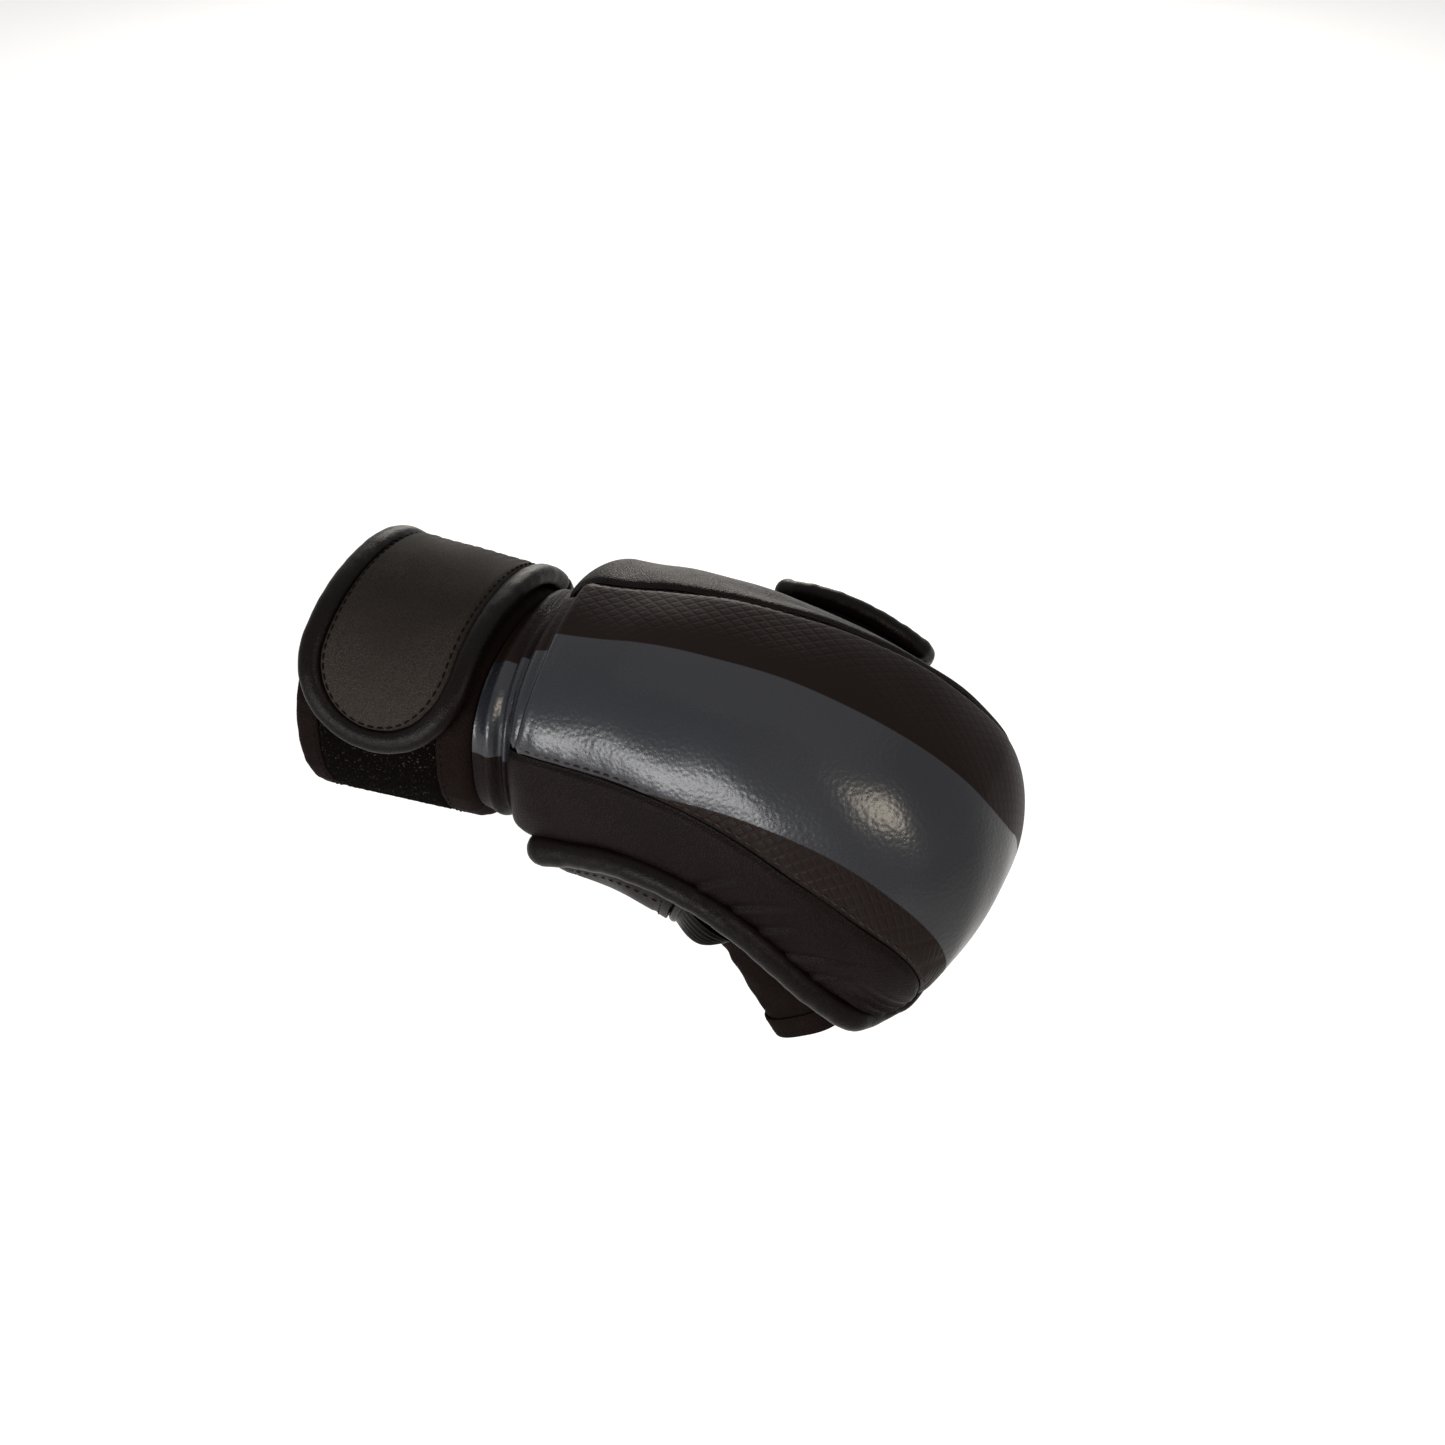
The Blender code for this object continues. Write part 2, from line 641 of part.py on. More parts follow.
def build_neck(body):
    thumb = thumb_seam(np.array(PAD_START))
    little = little_seam(np.array(PAD_START))
    edge = angle_at((EDGE_DROP_REAR + HEEL_CLEARANCE) / NECK_BOTTOM, PAD_POWER)
    corners = [thumb, little, np.pi + edge, 2 * np.pi - edge, 2 * np.pi + thumb]
    names = ["neck_back_panel", "neck_little_panel", "neck_palm_panel", "neck_thumb_panel"]
    half_seam = SEAM_GAP / 2 / REAR_HALF_WIDTH
    end = NECK_START + NECK_LENGTH
    for name, first, last in zip(names, corners, corners[1:]):
        reach = end + HEEL_LENGTH if name == "neck_palm_panel" else end
        stations = np.linspace(NECK_START, reach, 4)
        first, last = first + half_seam + 0 * stations, last - half_seam + 0 * stations
        sheet(name, patch(neck_surface, stations, first, last, 11), LEATHER, BLACK, body)
    tape_edge = angle_at((EDGE_DROP_REAR + HEEL_CLEARANCE + HEEL_TAPE_RADIUS) / NECK_BOTTOM, PAD_POWER)
    angle = np.linspace(np.pi + tape_edge, 2 * np.pi - tape_edge, 15)
    path = neck_surface(end + HEEL_LENGTH + HEEL_TAPE_RADIUS + GAP + 0 * angle, angle)
    cord("heel_binding", path, HEEL_TAPE_RADIUS, BLACK, body)


def palm_surface(height):
    """The palm strap's face, this far out from the hand."""

    def surface(station, angle):
        half_width = pad_half_width(station) - SIDE_WALL / 2 + height
        across, up = section(angle, half_width, PALM_DEPTH, PALM_DEPTH + height, PAD_POWER, PAD_POWER)
        return place(station, hand_centre(station) + across, up)

    return surface


def palm_edge_angle(station):
    """Where the palm strap ends, just under the piping."""
    angle = edge_angle(station)
    drop = LOWER_DEPTH * np.sin(angle) ** (2 / PAD_POWER)
    drop = drop + 2 * PIPING_RADIUS + 3 * GAP
    return angle_at(drop / PALM_DEPTH, PAD_POWER)


def build_palm_strap(body):
    stations = np.linspace(PALM_FROM, PALM_FROM + PALM_WIDTH, 5)
    end = palm_edge_angle(stations)
    first, last = np.pi + end, 2 * np.pi - end
    leather_face = PALM_LINING + GAP + PALM_LEATHER
    leather = patch(palm_surface(leather_face), stations, first, last, 19)
    lining = patch(palm_surface(PALM_LINING), stations, first, last, 19)
    sheet("palm_strap", leather, PALM_LEATHER, BLACK, body)
    sheet("palm_strap_lining", lining, PALM_LINING, FABRIC, body)
    reach = PALM_TAPE_RADIUS + GAP
    inset = PALM_TAPE_INSET / KNUCKLE_HALF_WIDTH
    middle = patch(palm_surface(leather_face / 2), stations, first + inset, last - inset, 19)
    rear = middle[0] - heading(stations[0]) * reach
    front = middle[-1] + heading(stations[-1]) * reach
    cord("palm_strap_rear_binding", rear, PALM_TAPE_RADIUS, BLACK, body)
    cord("palm_strap_front_binding", front, PALM_TAPE_RADIUS, BLACK, body)


def anchor_angles(station):
    """Section angles that reach over all four stalls."""
    half_width = pad_half_width(station) - SIDE_WALL
    share = np.clip(2 * STALL_PITCH / half_width, 0, 0.99)
    angle = np.arccos(share ** (CAVITY_POWER / 2))
    return angle, np.pi - angle


def build_anchor_strip(body):
    stations = np.linspace(ANCHOR_AT - MOUTH_WIDTH, ANCHOR_AT - MOUTH_WIDTH + ANCHOR_WIDTH, 4)
    first, last = anchor_angles(stations)
    face = raised(patch(cavity_surface, stations, first, last, 21), -FOAM_EASE)
    sheet("finger_anchor_strip", face, ANCHOR_THICKNESS, BLACK, body)


def stall_hinge(middle):
    """Where a stall is sewn to the anchor strip: the strip's lowest face over the stall's width."""
    station = np.linspace(ANCHOR_AT, ANCHOR_AT + ANCHOR_WIDTH - MOUTH_WIDTH, 5)[:, None]
    half_width = pad_half_width(station) - SIDE_WALL
    seat = (STALL_HALF_WIDTH + STALL_OVERHANG) * STALL_SEAT_SHARE
    across = middle + seat * np.linspace(-1, 1, 7)[None, :] - hand_centre(station)
    share = np.clip(np.abs(across) / half_width, 0, 0.99)
    ceiling = cavity_top(station) * (1 - share**CAVITY_POWER) ** (1 / CAVITY_POWER)
    return place(ANCHOR_AT, middle, ceiling.min() - FOAM_EASE - ANCHOR_THICKNESS - 2 * GAP)


def stall_hoop(name, hinge, profile, look, body):
    """A ring round a finger stall, from (distance along it, height above its wall) corners in turn."""
    drop = np.radians(STALL_DROP)
    forward = np.array([np.cos(drop), 0, -np.sin(drop)])
    upward = np.array([np.sin(drop), 0, np.cos(drop)])
    distance, height = np.array(profile).T
    angle = np.linspace(0, 2 * np.pi, STALL_STEPS, endpoint=False)[:, None]
    across, up = section(
        angle,
        STALL_HALF_WIDTH + height[None, :],
        STALL_HALF_DEPTH + height[None, :],
        STALL_HALF_DEPTH + height[None, :],
        STALL_POWER,
        STALL_POWER,
    )
    up = up - STALL_HALF_DEPTH - STALL_OVERHANG
    along = distance[None, :] + 0 * up
    points = hinge + along[..., None] * forward + up[..., None] * upward
    points[..., 1] += across
    return hoop(name, points, look, body)


def build_stall(finger, hinge, length, body):
    wall = band(0, length, -STALL_LEATHER, STALL_LEATHER)
    stall_hoop(f"{finger}_stall", hinge, wall, BLACK, body)
    hem = band(length - HEM_WIDTH, length, GAP, STALL_TAPE)
    stall_hoop(f"{finger}_hem", hinge, hem, BLACK, body)
    mouth = band(0, MOUTH_WIDTH, GAP, STALL_TAPE)
    stall_hoop(f"{finger}_mouth_binding", hinge, mouth, BLACK, body)


def thumb_frame(share):
    """Points on the thumb's arched axis, with the directions along, outward and up there."""
    side = KNUCKLE_HALF_WIDTH + HAND_OFFSET + THUMB_CLEARANCE + THUMB_RADIUS
    base = np.array([THUMB_BASE_X, side, THUMB_BASE_Z])
    arch = np.array([(THUMB_BASE_X + THUMB_TIP_X) / 2, side, THUMB_ARCH_Z])
    tip = np.array([THUMB_TIP_X, side + THUMB_SPLAY, THUMB_TIP_Z])
    share = np.asarray(share, float)[..., None]
    point = base * (1 - share) ** 2 + arch * 2 * share * (1 - share) + tip * share**2
    forward = (arch - base) * (1 - share) + (tip - arch) * share
    forward /= np.linalg.norm(forward, axis=-1, keepdims=True)
    upward = np.cross(forward, [0, 1, 0])
    upward /= np.linalg.norm(upward, axis=-1, keepdims=True)
    outward = np.cross(upward, forward)
    return point, forward, outward, upward


def thumb_surface(share, angle, height):
    """A point a height above the thumb stall's wall; angle 0 faces away from the hand."""
    share, angle, height = np.broadcast_arrays(share, angle, height)
    point, _, outward, upward = thumb_frame(share)
    radius = (THUMB_RADIUS + height)[..., None]
    return point + radius * (np.cos(angle)[..., None] * outward + np.sin(angle)[..., None] * upward)


def thumb_length():
    points = thumb_frame(np.linspace(0, 1, 100))[0]
    return np.linalg.norm(np.diff(points, axis=0), axis=1).sum()


def build_thumb(body):
    length = thumb_length()
    around = np.linspace(0, 2 * np.pi, STALL_STEPS, endpoint=False)
    wall = thumb_surface(np.linspace(0, 1, 8)[:, None], around[None, :], 0.0)
    sheet("thumb_stall", wall, THUMB_LEATHER, BLACK, body, wrap=True)
    hem_share = np.linspace(1 - THUMB_HEM_WIDTH / length, 1, 3)
    hem = thumb_surface(hem_share[:, None], around[None, :], -THUMB_LEATHER - 2 * GAP)
    sheet("thumb_hem", hem, TAPE, BLACK, body, wrap=True)
    roll = THUMB_ROLL / length
    rim = 3 * THUMB_ROLL / length
    angle = np.radians(np.linspace(THUMB_PAD_LOW, THUMB_PAD_HIGH, 9))
    share = np.linspace(THUMB_PAD_FROM + rim, 1 - rim, 10)
    foam_floor = FOAM_EASE
    skin_floor = foam_floor + THUMB_FOAM + GAP

    def face(height):
        return thumb_surface(share[:, None], angle[None, :], height)

    block("thumb_pad_foam", face(skin_floor - GAP), face(foam_floor), FOAM, body)
    block("thumb_pad_cover", face(skin_floor + THUMB_SKIN), face(skin_floor), BLACK, body)
    beside = (THUMB_ROLL + GAP) / THUMB_RADIUS
    low, high = np.radians(THUMB_PAD_LOW) - beside, np.radians(THUMB_PAD_HIGH) + beside
    run = np.linspace(THUMB_PAD_FROM + 2 * roll, 1 - 2 * roll, 10)
    turn = np.linspace(low, high, 9)[1:-1]
    shares = np.concatenate([run, run[-1] + roll + 0 * turn, run[::-1], run[0] - roll + 0 * turn])
    angles = np.concatenate([low + 0 * run, turn, high + 0 * run, turn[::-1]])
    path = thumb_surface(shares, angles, THUMB_ROLL + FOAM_EASE)
    cord("thumb_roll", path, THUMB_ROLL, BLACK, body, cyclic=True)


def build_thumb_web(body):
    """The soft sheet between the palm strap's end and the thumb's underside."""
    station = PALM_FROM + WEB_FROM + WEB_LENGTH * np.linspace(0, 1, 6)
    angle = -palm_edge_angle(station) - np.radians(WEB_DROP)
    outside = PALM_LINING + GAP + PALM_LEATHER + 2 * GAP
    hand_edge = palm_surface(outside)(station, angle)
    share = (station - THUMB_BASE_X) / (THUMB_TIP_X - THUMB_BASE_X)
    thumb_edge = thumb_surface(share, np.radians(WEB_SEAM_ANGLE), GAP)
    across = np.linspace(0, 1, 4)[None, :, None]
    face = thumb_edge[:, None, :] * (1 - across) + hand_edge[:, None, :] * across
    sheet("thumb_web", face, LEATHER, BLACK, body)


clear_scene()
GLOVE = collection("mma_glove")
cuff_pivot = pivot("cuff_body", (0, 0, 0))
strap_axis = cuff_point(CUFF_LENGTH / 2, np.radians(STRAP_ROOT_ANGLE), STRAP_TOP + CUFF_TAPER / 2 + GAP)
strap_pivot = pivot("strap_hinge", strap_axis, cuff_pivot)
hand_pivot = pivot("wrist_hinge", (NECK_START + NECK_LENGTH / 2, 0, 0), cuff_pivot)
thumb_side = KNUCKLE_HALF_WIDTH + HAND_OFFSET + THUMB_CLEARANCE
thumb_pivot = pivot("thumb_hinge", (THUMB_BASE_X, thumb_side, THUMB_BASE_Z), hand_pivot)

build_cuff(cuff_pivot)
build_strap(cuff_pivot, strap_pivot)
build_neck(hand_pivot)
build_pad(hand_pivot)
build_piping(hand_pivot)
build_palm_strap(hand_pivot)
build_anchor_strip(hand_pivot)
for place_in_row, (finger, length) in enumerate(STALL_LENGTHS.items()):
    middle = HAND_OFFSET + (place_in_row - (len(STALL_LENGTHS) - 1) / 2) * STALL_PITCH
    hinge = stall_hinge(middle)
    build_stall(finger, hinge, length, pivot(f"{finger}_hinge", hinge, hand_pivot))
build_thumb(thumb_pivot)
build_thumb_web(hand_pivot)
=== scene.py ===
# %% [markdown]
# # A padded sparring glove
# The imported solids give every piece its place, so this lesson only dresses them: leather, lining,
# rolled edges, stitches and hook-and-loop. The script works in millimetres, and one function turns
# a finished shape into metres. X runs to the fingers, Y to the thumb and Z out of the back of the hand.

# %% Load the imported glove
import json

import bmesh
import bpy
import numpy as np
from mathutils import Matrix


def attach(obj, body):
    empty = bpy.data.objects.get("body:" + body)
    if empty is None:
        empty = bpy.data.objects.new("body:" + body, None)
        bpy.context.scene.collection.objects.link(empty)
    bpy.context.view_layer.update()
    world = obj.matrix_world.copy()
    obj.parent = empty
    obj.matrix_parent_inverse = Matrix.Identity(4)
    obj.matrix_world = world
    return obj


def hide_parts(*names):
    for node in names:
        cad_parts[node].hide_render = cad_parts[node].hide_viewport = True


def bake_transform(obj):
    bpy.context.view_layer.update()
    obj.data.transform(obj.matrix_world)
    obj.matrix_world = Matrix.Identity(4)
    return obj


MM = 0.001
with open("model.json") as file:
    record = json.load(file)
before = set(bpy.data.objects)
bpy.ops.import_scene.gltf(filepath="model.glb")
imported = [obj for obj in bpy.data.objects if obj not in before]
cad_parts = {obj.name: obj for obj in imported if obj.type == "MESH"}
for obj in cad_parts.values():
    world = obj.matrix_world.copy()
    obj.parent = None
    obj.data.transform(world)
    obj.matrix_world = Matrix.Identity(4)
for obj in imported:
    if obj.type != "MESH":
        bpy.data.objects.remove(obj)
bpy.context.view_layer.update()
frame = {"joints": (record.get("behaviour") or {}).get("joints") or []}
hinges = {joint["name"]: np.array(joint["pos_m"]) / MM for joint in frame["joints"]}

# %% [markdown]
# ## Camera
# The glove is seen from the little finger's side and from above. A camera can be turned by Euler
# angles, but a "look at" is easier to read: the camera's own Z axis points from the target back to it.

# %% Camera
from mathutils import Vector

TARGET = Vector((0.13546, 0.0, 0.01301))
VIEW_AZIMUTH = np.radians(22)
VIEW_HEIGHT = np.radians(38)
VIEW_DISTANCE = 0.76
LENS = 57.75
SENSOR_WIDTH = 36.0

level = np.cos(VIEW_HEIGHT)
back = Vector((level * np.sin(VIEW_AZIMUTH), -level * np.cos(VIEW_AZIMUTH), np.sin(VIEW_HEIGHT)))
camera = bpy.data.objects.new("camera", bpy.data.cameras.new("camera"))
camera.data.lens = LENS
camera.data.sensor_width = SENSOR_WIDTH
camera.location = TARGET + VIEW_DISTANCE * back
camera.rotation_euler = back.to_track_quat("Z", "Y").to_euler()
bpy.context.scene.collection.objects.link(camera)
bpy.context.scene.camera = camera
print("camera at", [round(v, 3) for v in camera.location])

# %% [markdown]
# ## Shader sums
# Node trees get long when every Math node is made by hand. A small class wraps one output socket, so
# that `first - second` or `grain * 0.3` adds the Math node by itself. Every other kind of node, such as a
# noise or a Mix, comes from its one method `node`.


# %% A socket that can be used in sums
class Wire:
    """An output socket of a node tree. Each operator adds one Math node and returns its output."""

    def __init__(self, tree, socket=None):
        self.tree, self.socket = tree, socket

    def node(self, kind, settings=None, inputs=None, out=0):
        """Adds a node of any kind: first its settings, then the values or links of its sockets."""
        made = self.tree.nodes.new(kind)
        for key, value in (settings or {}).items():
            setattr(made, key, value)
        for key, value in (inputs or {}).items():
            if isinstance(value, Wire):
                self.tree.links.new(value.socket, made.inputs[key])
            else:
                made.inputs[key].default_value = value
        return Wire(self.tree, made.outputs[out])

    def math(self, operation, first, second=0.0):
        return self.node("ShaderNodeMath", {"operation": operation}, {0: first, 1: second})

    def __add__(self, other):
        return self.math("ADD", self, other)

    def __sub__(self, other):
        return self.math("SUBTRACT", self, other)

    def __mul__(self, other):
        return self.math("MULTIPLY", self, other)

    def __truediv__(self, other):
        return self.math("DIVIDE", self, other)

    __radd__ = __add__
    __rmul__ = __mul__

    def into(self, shader, name):
        self.tree.links.new(self.socket, shader.inputs[name])


def mixed(factor, first, second):
    """The first colour where the factor is 0 and the second where it is 1."""
    first, second = ((*c, 1) if isinstance(c, tuple) else c for c in (first, second))
    return factor.node("ShaderNodeMix", {"data_type": "RGBA"}, {0: factor, 6: first, 7: second}, 2)


def stepped(wire, low, high):
    """0 below low, 1 above high and a smooth step between them."""
    settings = {"interpolation_type": "SMOOTHSTEP"}
    return wire.node("ShaderNodeMapRange", settings, {0: wire, 1: low, 2: high}, "Result")


def ridged(wire):
    """0 at every whole number and 0.5 half-way between."""
    return wire.math("PINGPONG", wire, 0.5)


def texture(start, kind, inputs, out, settings=None):
    """A texture over the piece's own coordinates, which are in metres."""
    place = start.node("ShaderNodeTexCoord", out="Object")
    return start.node(f"ShaderNodeTex{kind}", settings, {"Vector": place, **inputs}, out)


def noise(start, scale, detail=3.0, roughness=0.55):
    return texture(start, "Noise", {"Scale": scale, "Detail": detail, "Roughness": roughness}, "Fac")


def cells(start, width, feature):
    """Voronoi cells of about this width in millimetres."""
    return texture(start, "Voronoi", {"Scale": 1 / (width * MM)}, "Distance", {"feature": feature})


def hide_axes(start):
    """The mesh's "hide" attribute: millimetres along and millimetres around."""
    hide = start.node("ShaderNodeAttribute", {"attribute_name": "hide"}, out="Vector")
    along = start.node("ShaderNodeSeparateXYZ", None, {0: hide})
    return along, Wire(start.tree, along.socket.node.outputs[1])


def shade(colour, amount):
    return tuple(amount * c for c in colour)


def bumped(height, shader, depth, strength=1.0):
    """Turns a height from 0 to 1 into small slopes; depth is the height of 1 in millimetres."""
    inputs = {"Height": height, "Distance": depth * MM, "Strength": strength}
    height.node("ShaderNodeBump", None, inputs, "Normal").into(shader, "Normal")


def new_finish(name, specular):
    made = bpy.data.materials.new(name)
    made.use_nodes = True
    shader = made.node_tree.nodes["Principled BSDF"]
    shader.inputs["Specular IOR Level"].default_value = specular
    return made, Wire(made.node_tree), shader


# %% [markdown]
# ## Leathers
# The sides, rolls and strap are synthetic leather: nearly black, matte, with pebbles about a
# millimetre wide. Voronoi cells give the pebbles, a finer noise the pores between them, and a broad
# noise makes some places a little lighter and smoother, as handling does. Only the numbers differ
# from one leather to the next, so one function makes them all.


# %% Leather
def leather(name, colour, roughness, pebble, relief, specular):
    made, start, shader = new_finish(name, specular)
    pebbles = stepped(cells(start, pebble, "DISTANCE_TO_EDGE"), 0.0, 0.32)
    pores = noise(start, 2600.0)
    handled = stepped(noise(start, 34.0), 0.35, 0.7)
    worn = mixed(handled, colour, shade(colour, 1.45))
    mixed(pebbles, shade(colour, 0.62), worn).into(shader, "Base Color")
    (roughness + 0.1 * pores - 0.07 * handled).into(shader, "Roughness")
    bumped(0.75 * pebbles + 0.25 * pores, shader, relief)
    return made


side_leather = leather("side_leather", (0.0052, 0.0031, 0.0028), 0.42, 0.95, 0.10, 0.035)
edge_leather = leather("edge_leather", (0.0040, 0.0025, 0.0023), 0.32, 0.80, 0.06, 0.055)
soft_leather = leather("soft_leather", (0.0066, 0.0040, 0.0036), 0.66, 0.85, 0.08, 0.015)
strap_leather = leather("strap_leather", (0.0250, 0.0208, 0.0184), 0.62, 0.70, 0.05, 0.030)
print("leathers:", *(m.name for m in (side_leather, edge_leather, soft_leather, strap_leather)))

# %% [markdown]
# ## Leather of the glove's back
# The back is a brown-black leather embossed with small diamond scales, and a broad blue-grey band is
# printed along it, whose glossy ink fills the scales and leaves a fine grain. The mesh carries two
# attributes: "hide", the distance along and around in millimetres, in which the scales are drawn, and
# "band", how far inside the band's edge a point lies. An image could hold the band, but a signed
# distance stays sharp at any size. Leather and ink shine differently, so each has a shader of its own,
# and the band's mask mixes them.

# %% Back leather with scales and a grey band
SCALE_LENGTH = 5.4
SCALE_WIDTH = 4.4
BROWN = (0.0092, 0.0055, 0.0046)
BROWN_SCALE = (0.0082, 0.0062, 0.0058)
BAND_INK = (0.0098, 0.0104, 0.0136)
BAND_INK_LIGHT = (0.0130, 0.0138, 0.0178)
SCALE_FADE = (50.0, 75.0)
SCALE_RELIEF = 0.24
INK_GRAIN = 1.3
INK_RELIEF = 0.085
LEATHER_SHINE = 0.04
INK_SHINE = 0.25


def back_leather_finish():
    """Diamonds lie where two slanted sets of lines cross: the nearer line's distance gives the scale."""
    made, start, leather_shader = new_finish("back_leather", LEATHER_SHINE)
    ink_shader = start.node("ShaderNodeBsdfPrincipled").socket.node
    ink_shader.inputs["Specular IOR Level"].default_value = INK_SHINE
    inside = start.node("ShaderNodeAttribute", {"attribute_name": "band"}, out="Fac")
    along, around = hide_axes(start)
    first, second = along / SCALE_LENGTH, around / SCALE_WIDTH
    nearer = start.math("MINIMUM", ridged(first + second), ridged(first - second))
    scales = stepped(nearer, 0.03, 0.26) * (0.22 + 0.78 * stepped(around, *SCALE_FADE))
    pores, broad = noise(start, 1500.0), noise(start, 26.0)
    mixed(scales * (0.5 + 0.5 * broad), BROWN, BROWN_SCALE).into(leather_shader, "Base Color")
    (0.42 + 0.10 * pores - 0.14 * scales).into(leather_shader, "Roughness")
    bumped(0.85 * scales + 0.15 * pores, leather_shader, SCALE_RELIEF)
    mixed(0.5 * pores + 0.5 * broad, BAND_INK, BAND_INK_LIGHT).into(ink_shader, "Base Color")
    (0.20 + 0.08 * pores + 0.05 * broad).into(ink_shader, "Roughness")
    grain = cells(start, INK_GRAIN, "SMOOTH_F1")
    bumped(0.9 * grain + 0.1 * pores, ink_shader, INK_RELIEF)
    printed = stepped(inside, -0.25, 0.25)
    both = [Wire(start.tree, shader.outputs[0]) for shader in (leather_shader, ink_shader)]
    surface = start.node("ShaderNodeMixShader", None, {0: printed, 1: both[0], 2: both[1]})
    surface.into(made.node_tree.nodes["Material Output"], "Surface")
    return made


back_leather = back_leather_finish()
print("scales of", SCALE_LENGTH, "by", SCALE_WIDTH, "mm")

# %% [markdown]
# ## Lining, pile and thread
# The lining is a plain black weave, drawn along the same "hide" distances. Hook and loop tapes are a
# dark fuzz with a few light fibre ends. Thread gets a fine unevenness.

# %% Fabrics
WEAVE_PITCH = 0.9


def weave_finish(name, colour):
    """Two sets of ribs at right angles: their product is highest where a thread comes to the top."""
    made, start, shader = new_finish(name, 0.04)
    along, around = (ridged(axis / WEAVE_PITCH) for axis in hide_axes(start))
    threads = 4 * (along * around)
    lint = noise(start, 420.0)
    mixed(threads * (0.4 + 0.6 * lint), colour, shade(colour, 2.4)).into(shader, "Base Color")
    (0.80 + 0.15 * lint).into(shader, "Roughness")
    bumped(threads, shader, 0.18)
    return made


def pile_finish(name, colour, fibre, density):
    """A fine noise for the pile, and its few highest points painted as light fibre ends."""
    made, start, shader = new_finish(name, 0.02)
    fuzz = noise(start, 900.0, 4.0, 0.7)
    specks = stepped(noise(start, 1250.0, 2.0), density, density + 0.06)
    mixed(specks, mixed(fuzz, shade(colour, 0.4), colour), fibre).into(shader, "Base Color")
    (0.88 + 0.12 * fuzz).into(shader, "Roughness")
    bumped(fuzz, shader, 0.5)
    return made


def thread_finish(name, colour):
    made, start, shader = new_finish(name, 0.03)
    twist = noise(start, 1900.0)
    mixed(twist, shade(colour, 0.5), shade(colour, 1.5)).into(shader, "Base Color")
    (0.6 + 0.2 * twist).into(shader, "Roughness")
    bumped(twist, shader, 0.08)
    return made


lining_weave = weave_finish("lining_weave", (0.0070, 0.0070, 0.0078))
edge_cloth = weave_finish("edge_cloth", (0.0050, 0.0048, 0.0048))
loop_pile = pile_finish("loop_pile", (0.0020, 0.0012, 0.0012), (0.030, 0.023, 0.022), 0.63)
hook_pile = pile_finish("hook_pile", (0.0060, 0.0058, 0.0062), (0.030, 0.030, 0.032), 0.60)
dark_thread = thread_finish("dark_thread", (0.0034, 0.0026, 0.0024))
light_thread = thread_finish("light_thread", (0.0240, 0.0190, 0.0165))
print("fabrics and threads ready")

# %% [markdown]
# ## From surfaces to solids
# Each piece is a grid of points worked out by a formula. A leather sheet is a wall between two grids,
# and a rolled edge is a round section carried along a path. Both are closed, because a sheet with no
# thickness would show holes at its edges, and its export would not be a solid.


# %% Walls and rolls
def corner_numbers(rows, columns, wrap=False):
    """The four corner numbers of each square of a grid; wrap joins the last column to the first."""
    index = np.arange(rows * columns).reshape(rows, columns)
    if wrap:
        index = np.hstack([index, index[:, :1]])
    corners = [index[:-1, :-1], index[:-1, 1:], index[1:, 1:], index[1:, :-1]]
    return np.stack(corners, axis=-1).reshape(-1, 4)


def wall(outer, inner, wrap=False):
    """Points and faces of a closed wall: both grids, and a strip along every open edge."""
    rows, columns = outer.shape[:2]
    count = rows * columns
    face = corner_numbers(rows, columns, wrap)
    index = np.arange(count).reshape(rows, columns)
    if wrap:
        rims = [np.append(index[0], index[0, 0]), np.append(index[-1], index[-1, 0])]
    else:
        rim = [index[:-1, 0], index[-1, :-1], index[:0:-1, -1], index[0, :0:-1], index[:1, 0]]
        rims = [np.concatenate(rim)]
    strips = [np.stack([r[:-1], r[:-1] + count, r[1:] + count, r[1:]], axis=-1) for r in rims]
    points = np.concatenate([outer.reshape(-1, 3), inner.reshape(-1, 3)])
    return points, np.concatenate([face, face[:, ::-1] + count, *strips]).tolist()


def unit(vectors):
    return vectors / np.linalg.norm(vectors, axis=-1, keepdims=True)


def full_turn(count):
    """Angles once round, without the last one, which is the first again."""
    return np.linspace(0, 2 * np.pi, count, endpoint=False)


def run_of(path):
    """Millimetres travelled at each point of a path."""
    return np.append(0, np.cumsum(np.linalg.norm(np.diff(path, axis=0), axis=1)))


def closed_rings(rings):
    """Points and faces of sections carried all the way round, so that the last one meets the first."""
    rows, corners = rings.shape[:2]
    faces = corner_numbers(rows + 1, corners, True) % (rows * corners)
    return rings.reshape(-1, 3), faces.tolist()


ROUND_END = np.array([84.0, 70, 54, 36, 18])


